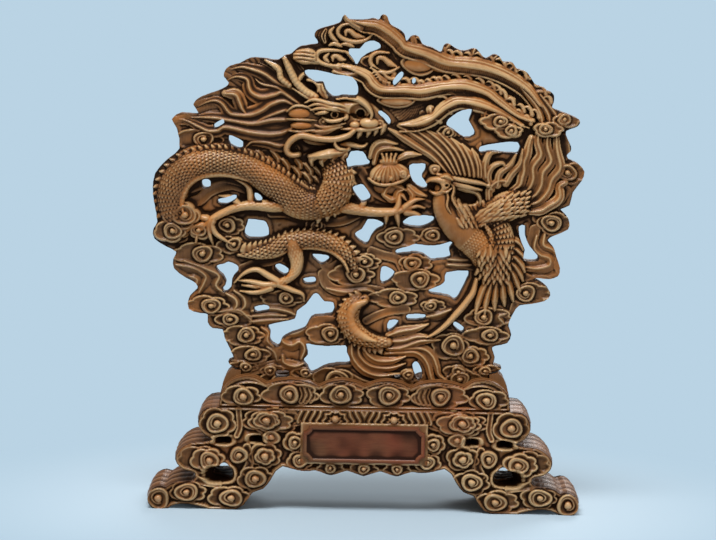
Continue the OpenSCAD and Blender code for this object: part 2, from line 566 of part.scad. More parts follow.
module phoenix_lower_plume() { color(wood) block(lower_plume_area, feather_relief, lower_plume_pegs); }

module phoenix_rump() { color(wood) block(rump_area, feather_relief, rump_pegs); }

module phoenix_streamer() { color(pale_wood) ridge(streamer, []); }

module upper_left_clouds() {
    color(dark_wood) cloud_block([field_left, cut_high], [cut_left, field_high], upper_left_pegs);
}

module left_clouds() {
    color(dark_wood) cloud_block([field_left, cut_low], [cut_left, cut_high], left_pegs);
}

module lower_left_clouds() {
    color(dark_wood) cloud_block([field_left, field_low], [cut_left, cut_low], lower_left_pegs);
}

module upper_middle_clouds() {
    color(dark_wood) cloud_block([cut_left, cut_high], [cut_right, field_high], upper_middle_pegs);
}

module middle_clouds() {
    color(dark_wood) cloud_block([cut_left, cut_low], [cut_right, cut_high], middle_pegs);
}

module lower_middle_clouds() {
    color(dark_wood) cloud_block([cut_left, field_low], [cut_right, cut_low], lower_middle_pegs);
}

module upper_right_clouds() {
    color(dark_wood) cloud_block([cut_right, cut_high], [field_right, field_high], upper_right_pegs);
}

module right_clouds() {
    color(dark_wood) cloud_block([cut_right, cut_low], [field_right, cut_high], right_pegs);
}

module lower_right_clouds() {
    color(dark_wood) cloud_block([cut_right, field_low], [field_right, cut_low], lower_right_pegs);
}

module relief_pegs() {
    color(pale_wood) for (p = all_relief_pegs) peg(p, peg_d);
}

// Sub-parts of the stand
module upright(depth, y = 0) {
    translate([0, y + depth / 2, 0]) rotate([90, 0, 0]) linear_extrude(depth) children();
}

module foot() {
    core_d = stand_d - 2 * flare_setback;
    ring_y = stand_d / 2 + (ring_relief - sink) / 2;
    top = stand_h - board_t;
    difference() {
        union() {
            upright(stand_d) foot_outline(0);
            upright(core_d) foot_outline(foot_flare);
            for (s = [-1, 1]) upright(ring_relief + sink, s * ring_y) intersection() {
                foot_outline(0);
                for (c = foot_scrolls) translate(on_foot(c)) oval(c[2], c[3]);
            }
        }
        translate([0, -board_d / 2 - glue_fit, top])
            cube([board_half + glue_fit, board_d + 2 * glue_fit, far]);
        for (s = [-1, 1]) {
            translate([0, s * apron_y - tenon_t / 2 - glue_fit, tenon_z - glue_fit])
                cube([apron_w / 2 + tenon_l + glue_fit, tenon_t + 2 * glue_fit, tenon_h + 2 * glue_fit]);
            apron_peg(s, peg_hole_d);
        }
        rail_peg([1, 0], peg_hole_d);
    }
}

module foot_outline(reach) {
    tidy() difference() {
        polygon(loop([for (p = foot_edge) on_foot(p, reach)]));
        polygon(loop([for (p = foot_eye) on_foot(p)]));
    }
}

module apron_peg(side, d) {
    translate([apron_w / 2 + tenon_l / 2, side * apron_y, stand_h - stand_peg_l])
        cylinder(d = d, h = stand_peg_l);
}

// Pegs of the rails: the end rails' pegs sit in the feet, the long rails' pegs in the board
module rail_peg(which, d) {
    end_x = (panel_foot_w / 2 + lift_fit + rail_half) / 2;
    long_y = (front_gap + board_d / 2) / 2;
    at = which[1] == 0 ? [which[0] * end_x, 0] : [which[0] * apron_w * rail_peg_share, which[1] * long_y];
    low = which[1] == 0 ? stand_h - stand_peg_l / 2 : stand_h - board_t;
    translate([at[0], at[1], low]) cylinder(d = d, h = stand_peg_l / 2 + stand_h - low);
}

module left_foot() { color(wood) mirror([1, 0, 0]) foot(); }

module right_foot() { color(wood) foot(); }

module apron_outline() {
    low = [for (p = apron_edge) on_stand([p[0] * apron_w / drawn_apron_w, p[1]])];
    n = len(low);
    right = run(low, curve_steps);
    left = run([for (i = [n - 1:-1:0]) [-low[i][0], low[i][1]]], curve_steps);
    tidy() polygon(concat([[-apron_w / 2, stand_h], [apron_w / 2, stand_h]], right, left));
}

module apron(side) {
    difference() {
        union() {
            upright(apron_t, side * apron_y) apron_outline();
            translate([-apron_w / 2 - tenon_l, side * apron_y - tenon_t / 2, tenon_z])
                cube([apron_w + 2 * tenon_l, tenon_t, tenon_h]);
        }
        for (m = [0, 1]) mirror([m, 0, 0]) apron_peg(side, peg_hole_d);
    }
}

module plaque_outline() {
    at = on_stand([0, plaque_mid]);
    translate(at) difference() {
        translate([-plaque_w / 2, -plaque_h / 2]) square([plaque_w, plaque_h]);
        for (x = [-1, 1], z = [-1, 1]) translate([x * plaque_w / 2, z * plaque_h / 2])
            circle(r = plaque_nick);
    }
}

module front_apron() {
    color(wood) difference() {
        apron(-1);
        upright(2 * plaque_inlet, -apron_y - apron_t / 2) offset(delta = glue_fit) plaque_outline();
    }
}

module rear_apron() { color(wood) apron(1); }

module plaque() {
    face = apron_y + apron_t / 2 - plaque_inlet;
    color(dark_wood) difference() {
        upright(plaque_t, -face - plaque_t / 2) plaque_outline();
        upright(2 * plaque_sink, -face - plaque_t) offset(delta = -plaque_border) plaque_outline();
    }
}

module slot_board() {
    slot_w = tongue_w + 2 * lift_fit;
    slot_d = panel_t + 2 * lift_fit;
    color(dark_wood) difference() {
        translate([-board_half, -board_d / 2, stand_h - board_t]) cube([2 * board_half, board_d, board_t]);
        translate([-slot_w / 2, -slot_d / 2, 0]) cube([slot_w, slot_d, far]);
        for (x = [-1, 1], y = [-1, 0, 1]) rail_peg([x, y], peg_hole_d);
    }
}

module slot_batten() {
    half = apron_w / 2 - glue_fit;
    color(dark_wood) translate([-half, -batten_d / 2, stand_h - board_t - batten_t])
        cube([2 * half, batten_d, batten_t]);
}

module rail_outline() {
    side = [for (p = rail_edge) on_rail(p)];
    n = len(side);
    right = run(side, curve_steps);
    left = run([for (i = [n - 1:-1:0]) [-side[i][0], side[i][1]]], curve_steps);
    tidy() polygon(concat(left, right));
}

module cloud_rail(side, gap) {
    depth = rail_face - gap;
    difference() {
        union() {
            upright(depth, side * (rail_face - depth / 2)) rail_outline();
            upright(ring_relief + sink, side * (rail_face + (ring_relief - sink) / 2)) intersection() {
                rail_outline();
                for (c = rail_scrolls, m = [-1, 1]) translate(on_rail([m * c[0], c[1]])) oval(c[2], c[3]);
            }
        }
        for (x = [-1, 1]) rail_peg([x, side], peg_hole_d);
    }
}

module front_cloud_rail() { color(wood) cloud_rail(-1, front_gap); }

module rear_cloud_rail() { color(wood) cloud_rail(1, rear_gap); }

module end_rail(side) {
    inner = panel_foot_w / 2 + lift_fit;
    low_y = -front_gap + glue_fit;
    difference() {
        translate([side > 0 ? inner : -rail_half, low_y, stand_h])
            cube([rail_half - inner, rear_gap - glue_fit - low_y, rail_h]);
        rail_peg([side, 0], peg_hole_d);
    }
}

module left_end_rail() { color(wood) end_rail(-1); }

module right_end_rail() { color(wood) end_rail(1); }

module apron_pegs() {
    color(pale_wood) for (m = [0, 1], s = [-1, 1]) mirror([m, 0, 0]) apron_peg(s, peg_d);
}

module rail_pegs() {
    color(pale_wood) {
        for (x = [-1, 1], y = [-1, 0, 1]) rail_peg([x, y], peg_d);
    }
}

ground_board();
dragon_mane();
dragon_head();
dragon_body();
dragon_lower_coil();
dragon_tail();
dragon_tail_tuft();
dragon_left_foreleg();
dragon_right_foreleg();
dragon_hind_leg();
flaming_pearl();
phoenix_head();
phoenix_crest();
phoenix_body();
phoenix_wing();
phoenix_upper_plume();
phoenix_middle_plume();
phoenix_lower_plume();
phoenix_rump();
phoenix_streamer();
upper_left_clouds();
left_clouds();
lower_left_clouds();
upper_middle_clouds();
middle_clouds();
lower_middle_clouds();
upper_right_clouds();
right_clouds();
lower_right_clouds();
relief_pegs();
left_foot();
right_foot();
front_apron();
rear_apron();
plaque();
slot_board();
slot_batten();
front_cloud_rail();
rear_cloud_rail();
left_end_rail();
right_end_rail();
apron_pegs();
rail_pegs();
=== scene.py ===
"""Carved boxwood table screen: the dressed pieces, the light and the camera.

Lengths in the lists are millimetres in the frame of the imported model: x to the right,
z up, and depth towards the front, which faces -Y."""
import json
import math

import bpy
import numpy as np
from mathutils import Matrix, Vector


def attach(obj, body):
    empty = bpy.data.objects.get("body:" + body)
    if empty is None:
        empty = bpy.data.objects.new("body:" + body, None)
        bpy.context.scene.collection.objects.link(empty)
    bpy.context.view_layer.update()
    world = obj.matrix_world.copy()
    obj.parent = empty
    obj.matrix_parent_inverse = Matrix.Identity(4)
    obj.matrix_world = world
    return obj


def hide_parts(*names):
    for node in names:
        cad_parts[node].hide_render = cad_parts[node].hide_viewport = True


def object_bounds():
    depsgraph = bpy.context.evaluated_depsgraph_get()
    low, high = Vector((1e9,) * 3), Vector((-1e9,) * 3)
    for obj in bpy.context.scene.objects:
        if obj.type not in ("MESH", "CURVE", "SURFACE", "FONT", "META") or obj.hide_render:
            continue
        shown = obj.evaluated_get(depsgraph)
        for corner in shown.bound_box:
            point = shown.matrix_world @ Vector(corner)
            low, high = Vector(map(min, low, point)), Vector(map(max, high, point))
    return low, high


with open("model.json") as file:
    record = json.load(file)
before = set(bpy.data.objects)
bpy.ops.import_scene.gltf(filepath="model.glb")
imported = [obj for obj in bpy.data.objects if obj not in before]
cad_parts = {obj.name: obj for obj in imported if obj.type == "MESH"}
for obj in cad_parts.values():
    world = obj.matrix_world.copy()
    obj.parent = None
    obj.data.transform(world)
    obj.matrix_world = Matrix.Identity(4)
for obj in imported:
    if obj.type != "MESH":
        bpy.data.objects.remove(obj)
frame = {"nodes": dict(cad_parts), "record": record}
cad_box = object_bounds()

MM = 0.001
TAU = 2 * math.pi
# Steps of the carved fields, in millimetres
CELL, REAR_CELL, PLAQUE_CELL = 0.35, 0.8, 0.3
# Slope of a form's sides, and the depth at which the ground of the panel lies
WALL, GROUND_Y = 5.0, -4.0
# Clouds: notches between lobes, unevenness of the rings, keenness of the crests, tone of the beads
NOTCH, UNEVEN, KEEN, BEAD_TONE = 0.16, 0.05, 2.4, 0.55
# Painted shade and wear: how far round a point is looked at, and what that counts towards hollow (painted
# shade with patina) and towards proud (rubbed wear with painted highlight)
SHADE_AND_WEAR = ((0.8, 0.95, 1.15), (2.4, 0.26, 0.36), (6.0, 0.13, 0.09))
# Neighbours of a cell, each as a shift along an axis
NEIGHBOURS = ((1, 0), (-1, 0), (1, 1), (-1, 1))
# Edges keener than this are drawn sharp
SHARP_ANGLE = math.radians(70)
# How squarely a face has to look to the front or the back to count in the outline
LEAST_FACING = 0.3


# Curves and small helpers

def curve(points, steps=5):
    """Smooth run through the points."""
    p = np.array(points, float)
    p = np.vstack([2 * p[0] - p[1], p, 2 * p[-1] - p[-2]])
    t = (np.arange(steps) / steps)[:, None]
    spans = []
    for a, b, c, d in zip(p, p[1:], p[2:], p[3:]):
        spans.append(0.5 * (2 * b + (c - a) * t + (2 * a - 5 * b + 4 * c - d) * t**2
                            + (3 * b - a - 3 * c + d) * t**3))
    return np.vstack(spans + [p[-2:-1]])


def spread(value, share):
    """A value that changes along a run, given as a number or as a list over its length."""
    if np.isscalar(value):
        return value
    return np.interp(share, np.linspace(0, 1, len(value)), value)


def saw(phase):
    """Climbs from -1 to 1 in every step."""
    return 2 * (phase - np.floor(phase)) - 1


def arc(part):
    """Height of a half circle: 1 in the middle, 0 from -1 and 1 outward."""
    return np.sqrt(np.clip(1 - part * part, 0, 1))


def bands(phase):
    """Half-round bands side by side: 1 on a crest, 0 in the groove between two."""
    return arc(saw(phase))


def span(low, high, start, step):
    """Slice of the cells that reach from low to high."""
    return slice(max(int((low - start) / step), 0), max(int((high - start) / step) + 2, 1))


def blur(field, reach, cell):
    """Soft average over about that many millimetres."""
    half = max(int(round(reach / cell / 1.8)), 1)
    out = field.astype(float)
    for axis in (0, 1, 0, 1, 0, 1):
        out = np.moveaxis(out, axis, 0)
        padded = np.concatenate([np.repeat(out[:1], half + 1, 0), out, np.repeat(out[-1:], half, 0)])
        total = np.cumsum(padded, 0)
        out = (total[2 * half + 1:] - total[:-2 * half - 1]) / (2 * half + 1)
        out = np.moveaxis(out, 0, axis)
    return out


def chisel_noise(shape, step, seed):
    """Soft seeded waviness left by the chisel, between -1 and 1."""
    rng = np.random.default_rng(seed)
    rows, cols = shape[0] // step + 3, shape[1] // step + 3
    knots = rng.uniform(-1, 1, (rows, cols))
    r, c = np.arange(shape[0]) / step, np.arange(shape[1]) / step
    i, j = r.astype(int), c.astype(int)
    u, v = r - i, c - j
    u, v = (u * u * (3 - 2 * u))[:, None], (v * v * (3 - 2 * v))[None, :]
    top = knots[np.ix_(i, j)] * (1 - v) + knots[np.ix_(i, j + 1)] * v
    low = knots[np.ix_(i + 1, j)] * (1 - v) + knots[np.ix_(i + 1, j + 1)] * v
    return top * (1 - u) + low * u


# Cuts that finish the surface of a run: along it, off its middle, and its half-width

def hair(count, depth):
    """Round strands side by side."""
    return lambda run, off, half: -depth * (1 - bands((off / half + 1) / 2 * count))


def channels(count, depth):
    """Scooped channels with a sharp crest on each side."""
    def finish(run, off, half):
        phase = (off / half + 1) / 2 * count
        return -depth * (1 - np.abs(saw(phase)) ** 1.6)
    return finish


def keel(rise):
    """A keen ridge with hollow flanks."""
    return lambda run, off, half: rise * np.clip(1 - np.abs(off) / half, 0, 1) ** 1.7


def belly(pitch, depth):
    """Plates across the run."""
    return lambda run, off, half: -depth * (1 - bands(run / pitch))


def plume_band(pitch, depth):
    """A glossy roll with two engraved lines above, and below a scooped band with fine hatching."""
    def finish(run, off, half):
        q = off / half
        low = np.clip((-0.12 - q) / 0.1, 0, 1)
        scoop = 1 - np.abs(2 * np.clip((-0.12 - q) / 0.88, 0, 1) - 1) ** 2.2
        line = np.exp(-((q - 0.42) / 0.08) ** 2) + 0.8 * np.exp(-((q - 0.72) / 0.06) ** 2)
        return -low * (depth + 1.1 * scoop + 0.3 * (1 - bands(run / pitch))) - 0.45 * line
    return finish


def barbs(pitch, lean, depth, shaft):
    """Fine barbs that lean off a raised shaft."""
    def finish(run, off, half):
        fine = -depth * (1 - bands((run - lean * np.abs(off)) / pitch))
        return fine + shaft * np.exp(-(off / 0.55) ** 2)
    return finish


def scales(pitch, width, lift, start=0.0):
    """Rows of scales that overlap, from a place along the run onward."""
    def finish(run, off, half):
        round_it = np.arcsin(np.clip(off / half, -1, 1)) * half
        rows = np.floor(run / pitch)
        best = np.full(np.shape(run), -1.0)
        for back in (0, 1):
            row = rows - back
            column = round_it / width + 0.5 * (row % 2)
            side = saw(column)
            tip = (row + 1.5) * pitch - run - 0.75 * pitch * side * side
            rise = 0.6 - 0.5 * tip / pitch - 0.35 * side * side
            best = np.maximum(best, np.where(tip > 0, rise, -1.0))
        return lift * np.where(run > start, best, 0.1)
    return finish


class Carving:
    """A field of carved heights over a flat outline, cut into the pieces that own it."""

    def __init__(self, low, high, cell, floor):
        self.cell = cell
        self.x = np.arange(low[0], high[0] + cell, cell)
        self.z = np.arange(low[1], high[1] + cell, cell)
        shape = (self.z.size, self.x.size)
        self.height = np.full(shape, float(floor))
        self.cover = np.zeros(shape)
        self.owner = np.full(shape, -1)
        self.tone = np.zeros(shape)
        # Painted shade in cuts and recesses, with some dirt, that darkens the colour
        self.dirt_and_shade = np.zeros(shape)
        self.bead_tone = BEAD_TONE
        self.names = []

    @property
    def inside(self):
        """Cells inside the outline."""
        return self.cover > 0.5

    def even(self, value):
        """A field with one value all over."""
        return np.full_like(self.height, value)

    def noise(self, step, seed):
        """Chisel noise over the whole field."""
        return chisel_noise(self.height.shape, step, seed)

    def window(self, low, high):
        """Rows and columns between two corners."""
        cols, rows = [span(low[k], high[k], axis[0], self.cell) for k, axis in enumerate((self.x, self.z))]
        return rows, cols

    def grid(self, rows, cols):
        """Places of those rows and columns, across and up."""
        return self.x[cols][None, :], self.z[rows][:, None]

    def spot(self, x, z):
        """Row and column of a place."""
        return int((z - self.z[0]) / self.cell), int((x - self.x[0]) / self.cell)

    def number(self, name):
        """Number of an owner, new or known."""
        if name not in self.names:
            self.names.append(name)
        return self.names.index(name)

    def stamp(self, node, facing=-1, past=-100.0, fine=3):
        """Share of each cell that a node's faces cover, seen from the front or the back.

        Only faces further out than `past` millimetres count."""
        mesh = frame["nodes"][node].data
        mesh.calc_loop_triangles()
        step = self.cell / fine
        shape = (self.z.size * fine, self.x.size * fine)
        hit = np.zeros(shape, bool)
        x0, z0 = self.x[0] - self.cell / 2 + step / 2, self.z[0] - self.cell / 2 + step / 2
        for tri in mesh.loop_triangles:
            if tri.normal.y * facing < LEAST_FACING:
                continue
            p = np.array([mesh.vertices[v].co for v in tri.vertices]) / MM
            if (p[:, 1] * facing).max() < past:
                continue
            p = p[:, [0, 2]]
            lo, hi = p.min(0), p.max(0)
            cols, rows = span(lo[0], hi[0], x0, step), span(lo[1], hi[1], z0, step)
            r, c = np.arange(shape[0])[rows], np.arange(shape[1])[cols]
            gx, gz = (x0 + step * c)[None, :], (z0 + step * r)[:, None]
            turns = []
            for a, b in zip(p, np.roll(p, -1, 0)):
                turns.append((b[0] - a[0]) * (gz - a[1]) - (b[1] - a[1]) * (gx - a[0]))
            turns = np.array(np.broadcast_arrays(*turns))
            hit[rows, cols] |= (turns >= 0).all(0) | (turns <= 0).all(0)
        return hit.reshape(self.z.size, fine, self.x.size, fine).mean((1, 3))

    def claim(self, node, facing=-1, past=-100.0):
        """Gives the cells that a node covers to that node."""
        covered = self.stamp(node, facing, past)
        self.owner[covered > 0.5] = self.number(node)
        self.cover = np.maximum(self.cover, covered)

    def widen(self, times, where=True):
        """Lets the owners grow into the cells beside them that have none."""
        for _ in range(times):
            for shift, axis in NEIGHBOURS:
                moved = np.roll(self.owner, shift, axis)
                take = (self.owner < 0) & (moved >= 0) & where
                self.owner[take] = moved[take]

    def follow(self, path, reach):
        """Round a curve: the distance along it, off it to the left, and the share of its length."""
        rows, cols = self.window(path.min(0) - reach, path.max(0) + reach)
        x, z = self.x[cols], self.z[rows]
        near2 = np.full((z.size, x.size), 1e6)
        run, side = np.zeros_like(near2), np.ones_like(near2)
        start = 0.0
        for a, b in zip(path[:-1], path[1:]):
            step = b - a
            length = math.hypot(*step)
            if length < 1e-6:
                continue
            lo, hi = np.minimum(a, b) - reach, np.maximum(a, b) + reach
            c = slice(*np.searchsorted(x, (lo[0], hi[0])))
            r = slice(*np.searchsorted(z, (lo[1], hi[1])))
            gx, gz = x[c][None, :] - a[0], z[r][:, None] - a[1]
            u = np.clip((gx * step[0] + gz * step[1]) / length**2, 0, 1)
            dx, dz = gx - u * step[0], gz - u * step[1]
            far2 = dx * dx + dz * dz
            closer = far2 < near2[r, c]
            near2[r, c][closer] = far2[closer]
            run[r, c][closer] = (start + u * length)[closer]
            side[r, c][closer] = np.sign(step[0] * dz - step[1] * dx)[closer]
            start += length
        return rows, cols, run, side * np.sqrt(near2), run / max(start, 1e-6)

    def lay(self, rows, cols, surface, inside, owner, tone):
        """Puts a form on the field where it stands higher than what is there."""
        old = self.height[rows, cols]
        over = surface > old
        old[over] = surface[over]
        if owner is not None:
            self.owner[rows, cols][over & inside] = self.number(owner)
        self.tone[rows, cols][over & inside] = tone
        self.dirt_and_shade[rows, cols][over & inside] = 0.0
        return over & inside

    def stroke(self, points, width, base, crown, finish=None, owner=None, tone=0.0, flat=2.0, crevice_shade=0.0):
        """A rounded run of changing width, with steep sides, and painted shade between the cuts of its
        finish.
        """
        path = curve(points)
        rows, cols, run, off, share = self.follow(path, np.max(width) + 1.5)
        half, low = spread(width, share), spread(base, share)
        q = np.abs(off) / half
        surface = low + spread(crown, share) * np.sqrt(np.clip(1 - q**flat, 0, 1))
        cuts = finish(run, off, half) if finish is not None else np.zeros_like(run)
        surface = np.where(q < 1, surface + cuts, low - WALL * (np.abs(off) - half))
        laid = self.lay(rows, cols, surface, q < 1, owner, tone)
        # Painted shade: the cuts of the finish are painted darker the deeper they go
        if crevice_shade:
            lowest, highest = np.percentile(cuts[q < 1], (4, 96))
            deep = np.clip((highest - cuts) / (highest - lowest), 0, 1)
            self.dirt_and_shade[rows, cols][laid] = (crevice_shade * deep)[laid]

    def strokes(self, runs, *form, **more):
        """The same stroke along each of several runs."""
        for points in runs:
            self.stroke(points, *form, **more)

    def cut(self, points, width, depth):
        """A rounded groove along a curve."""
        rows, cols, _, off, share = self.follow(curve(points), np.max(width) + 0.5)
        self.height[rows, cols] -= spread(depth, share) * arc(np.abs(off) / spread(width, share))

    def oval(self, x, z, rx, rz, past):
        """Round an oval: rows and columns, and how far across and up, 1 at its edge."""
        rows, cols = self.window((x - rx - past, z - rz - past), (x + rx + past, z + rz + past))
        gx, gz = self.grid(rows, cols)
        return rows, cols, (gx - x) / rx, (gz - z) / rz

    def dome(self, x, z, rx, rz, base, crown, owner=None, tone=0.0):
        """A round boss."""
        rows, cols, across, rise = self.oval(x, z, rx, rz, 1)
        u = np.hypot(across, rise)
        surface = np.where(u < 1, base + crown * arc(u), base - WALL * (u - 1) * min(rx, rz))
        self.lay(rows, cols, surface, u < 1, owner, tone)

    def hollow(self, x, z, rx, rz, depth):
        """A round dip."""
        rows, cols, across, rise = self.oval(x, z, rx, rz, 0)
        self.height[rows, cols] -= depth * arc(np.hypot(across, rise))

    def cloud(self, x, z, rx, rz, base, crown, lobes=0, lean=0.0, hand=1, curl=True, owner=None, tone=0.0,
              turns=0.9, keen=2.0, bead=0.42):
        """A scooped cloud with a thin crest along its edge, and in it a curling crest and a bead."""
        rows, cols = self.window((x - rx - 2, z - rz - 2), (x + rx + 2, z + rz + 2))
        gx, gz = self.grid(rows, cols)
        dx, dz = gx - x, gz - z
        small = min(rx, rz)
        angle = np.arctan2(dz / rz, dx / rx)
        sway = 1 + UNEVEN * (np.sin(2 * angle + 1.3 * x + 0.9 * z) + np.sin(3 * angle + 0.7 * x - 1.1 * z))
        edge = sway
        if lobes:
            around = angle + lean + 0.25 * np.sin(angle)
            edge = 1 - NOTCH * (1 - np.abs(np.cos(lobes * around / 2)) ** 0.8)
        u = (np.abs(dx / rx) ** keen + np.abs(dz / rz) ** keen) ** (1 / keen) / edge
        steep = np.hypot(*np.gradient(u, self.cell))
        inward = (1 - u) / np.maximum(steep, 0.3 / max(rx, rz))
        scoop = np.clip(0.5 * small, 0.9, 2.5)
        crest = np.clip(1 - np.abs(inward - 0.5) / scoop, 0, 1) ** KEEN
        if curl:
            wide = min((rx / rz) ** 0.5, 1.35)
            r = np.hypot(dx / wide, dz) / sway
            eye = np.clip(bead * small, 0.7, 1.9)
            turn = np.mod(hand * np.arctan2(dz, dx / wide) / TAU + lean, 1.0)
            pitch = (0.95 * small - eye) / turns
            for step in (turn, turn + 1):
                strong = np.clip((turns - step) / 0.3, 0, 1)
                gap = np.abs(r - eye - 0.2 - pitch * step) / min(0.55 * pitch, 1.3)
                crest = np.maximum(crest, strong * np.clip(1 - gap, 0, 1) ** KEEN)
        surface = base + crown * (0.2 + 0.4 * crest + 0.16 * np.clip(dz / rz, -1, 1))
        if curl:
            ball = base + crown * (0.3 + 0.5 * arc(r / eye))
            surface = np.where(r < eye, ball, surface)
        surface = np.where(u < 1, surface, base + 0.4 * crown + WALL * inward)
        self.lay(rows, cols, surface, u < 1, owner, tone)
        if curl:
            self.tone[rows, cols][r < eye] = np.maximum(self.tone[rows, cols], self.bead_tone)[r < eye]

    def pit(self, x, z, rx, rz, level, lip=0.0):
        """A deep rounded slot, with a crest round its mouth where lip is more than nothing."""
        rows, cols, across, rise = self.oval(x, z, rx, rz, 2)
        u = (np.abs(across) ** 3 + np.abs(rise) ** 3) ** (1 / 3)
        far = (u - 1) * min(rx, rz)
        field = self.height[rows, cols]
        field += lip * np.exp(-((far - 0.6) / 0.5) ** 2)
        deep = np.maximum(level, field + 6 * far)
        field[u < 1] = np.minimum(field, deep)[u < 1]

    def patch(self, points, reach):
        """Round a closed outline: rows and columns, how far from it, and what lies inside."""
        path = curve(list(points) + [points[0]], 4)
        rows, cols, _, off, _ = self.follow(path, reach)
        gx, gz = self.grid(rows, cols)
        inside = np.zeros(off.shape, bool)
        for a, b in zip(path[:-1], path[1:]):
            if a[1] != b[1]:
                at = a[0] + (gz - a[1]) * (b[0] - a[0]) / (b[1] - a[1])
                inside ^= ((a[1] > gz) != (b[1] > gz)) & (gx < at)
        return rows, cols, np.abs(off), inside

    def plate(self, points, base, crown, edge, owner=None, tone=0.0):
        """A pillowed patch inside a closed outline."""
        rows, cols, far, inside = self.patch(points, 80)
        pillow = base + crown * arc(1 - np.clip(far / edge, 0, 1))
        self.lay(rows, cols, np.where(inside, pillow, base - WALL * far), inside, owner, tone)

    def sink(self, points, level):
        """Cuts a patch down to a level."""
        rows, cols, _, inside = self.patch(points, 30)
        field = self.height[rows, cols]
        field[inside] = np.minimum(field[inside], level)

    def free_reach(self, free, most):
        """Distance in millimetres from each free point to the nearest one that isn't."""
        left = free.copy()
        reach = np.zeros(free.shape)
        for step in range(int(most / self.cell)):
            reach += left
            edge = left.copy()
            edge[1:] &= left[:-1]
            edge[:-1] &= left[1:]
            edge[:, 1:] &= left[:, :-1]
            edge[:, :-1] &= left[:, 1:]
            if step % 2:
                edge[1:, 1:] &= left[:-1, :-1]
                edge[:-1, :-1] &= left[1:, 1:]
                edge[1:, :-1] &= left[:-1, 1:]
                edge[:-1, 1:] &= left[1:, :-1]
            left = edge
        return reach * self.cell

    def fill_with_curls(self, free, least, most, base, crown):
        """Packs cloud curls into the free places, the largest first."""
        reach = self.free_reach(free, most)
        hand = 1
        while reach.max() > least:
            j, i = np.unravel_index(reach.argmax(), reach.shape)
            size = min(reach[j, i], most)
            x, z = self.x[i], self.z[j]
            self.cloud(x, z, 1.5 * size, 1.05 * size, base, crown, 0, 0.3 * hand, hand, False, keen=1.7)
            self.cloud(x, z, 0.8 * size, 0.7 * size, base + 0.5, crown, 0, 0.3 * hand, hand)
            hand = -hand
            rows, cols = self.window((x - 1.5 * size, z - 1.2 * size), (x + 1.5 * size, z + 1.2 * size))
            reach[rows, cols] = 0

    def fill_with_ribbons(self, free, pitch, base, crest):
        """Covers the free places with drifting ribbons that follow the forms round them."""
        reach = blur(self.free_reach(free, 14.0), 0.6, self.cell) + 0.5 * self.noise(14, 11)
        ridge = np.abs(saw(reach / pitch)) ** 1.8
        mound = np.sin(np.clip(reach / (1.6 * pitch), 0, 1) * math.pi / 2)
        rise = np.where(reach > 1.2 * pitch, 0.6 + 0.4 * ridge, mound)
        self.height[free] = np.maximum(self.height, base + crest * rise)[free]

    def raise_brim(self, part, rim, base, rise, middle, width, power):
        """Raises a thin crest along the outline of a part."""
        crest = base + rise * np.clip(1 - np.abs(rim - middle) / width, 0, 1) ** power
        self.height[part] = np.maximum(self.height, crest)[part]

    def round_rim(self, rim, over, low, high, where=True):
        """Rolls the field down towards the outline."""
        roll = low + (high - low) * arc(1 - np.clip(rim / over, 0, 1))
        self.height = np.where(where, np.minimum(self.height, roll), self.height)

    def shade_and_wear(self):
        """How hollow and how exposed each point is, both from 0 to 1: hollow in narrow cuts most of all.
        Hollow paints shade with patina into the recesses; exposed paints rubbed wear with a highlight onto
        what stands out.
        """
        inside = self.inside
        level = np.where(inside, self.height, 0.0)
        hollow, proud = np.zeros_like(level), np.zeros_like(level)
        for reach, sunk, raised in SHADE_AND_WEAR:
            share = np.maximum(blur(inside, reach, self.cell), 0.05)
            above = level - blur(level, reach, self.cell) / share
            hollow -= sunk * above
            proud += raised * above
        # Painted shade and dirt in the cuts deepen the hollow mark and dim the proud one
        hollow, proud = 0.2 + hollow + self.dirt_and_shade, 0.05 + proud - 0.6 * self.dirt_and_shade
        return np.clip(hollow, 0, 1), np.clip(proud, 0, 1)


# Meshes from a carving

def net(carving):
    """Places of the points between the cells, drawn onto the outline where it passes."""
    cover, inside = carving.cover, carving.inside
    corners = [(0, 0), (0, 1), (1, 1), (1, 0)]
    rows, cols = cover.shape[0] - 1, cover.shape[1] - 1
    pick = [cover[a:a + rows, b:b + cols] for a, b in corners]
    held = [inside[a:a + rows, b:b + cols] for a, b in corners]
    x, z, count = np.zeros((rows, cols)), np.zeros((rows, cols)), np.zeros((rows, cols))
    for k, (a, b) in enumerate(corners):
        c, d = corners[(k + 1) % 4]
        one, two = pick[k], pick[(k + 1) % 4]
        cross = held[k] != held[(k + 1) % 4]
        gap = np.where(np.abs(two - one) < 1e-9, 1.0, two - one)
        u = np.clip((0.5 - one) / gap, 0, 1)
        x += np.where(cross, b + u * (d - b), 0)
        z += np.where(cross, a + u * (c - a), 0)
        count += cross
    some = count > 0
    x = np.where(some, x / np.maximum(count, 1), 0.5)
    z = np.where(some, z / np.maximum(count, 1), 0.5)
    return (carving.x[:-1][None, :] + x * carving.cell, carving.z[:-1][:, None] + z * carving.cell)


def at_net(field, inside):
    """A field's value between the cells, from the corners inside the outline."""
    rows, cols = field.shape[0] - 1, field.shape[1] - 1
    total, count = np.zeros((rows, cols)), np.zeros((rows, cols))
    for a in (0, 1):
        for b in (0, 1):
            held = inside[a:a + rows, b:b + cols]
            total += np.where(held, field[a:a + rows, b:b + cols], 0)
            count += held
    return total / np.maximum(count, 1)


def faces_and_rim(mask):
    """Quads of the points in a mask, and the edges round it, as numbers of the points between."""
    cols = mask.shape[1] - 1
    j, i = [found + 1 for found in np.nonzero(mask[1:-1, 1:-1])]

    def spot(corner, some=slice(None)):
        return (j[some] + corner[0]) * cols + i[some] + corner[1]

    quads = np.stack([spot((-1, -1)), spot((-1, 0)), spot((0, 0)), spot((0, -1))], 1)
    rim = []
    for dj, di, a, b in ((-1, 0, (-1, -1), (-1, 0)), (0, 1, (-1, 0), (0, 0)),
                         (1, 0, (0, 0), (0, -1)), (0, -1, (0, -1), (-1, -1))):
        out = ~mask[j + dj, i + di]
        rim.append(np.stack([spot(a, out), spot(b, out)], 1))
    return quads, np.vstack(rim)


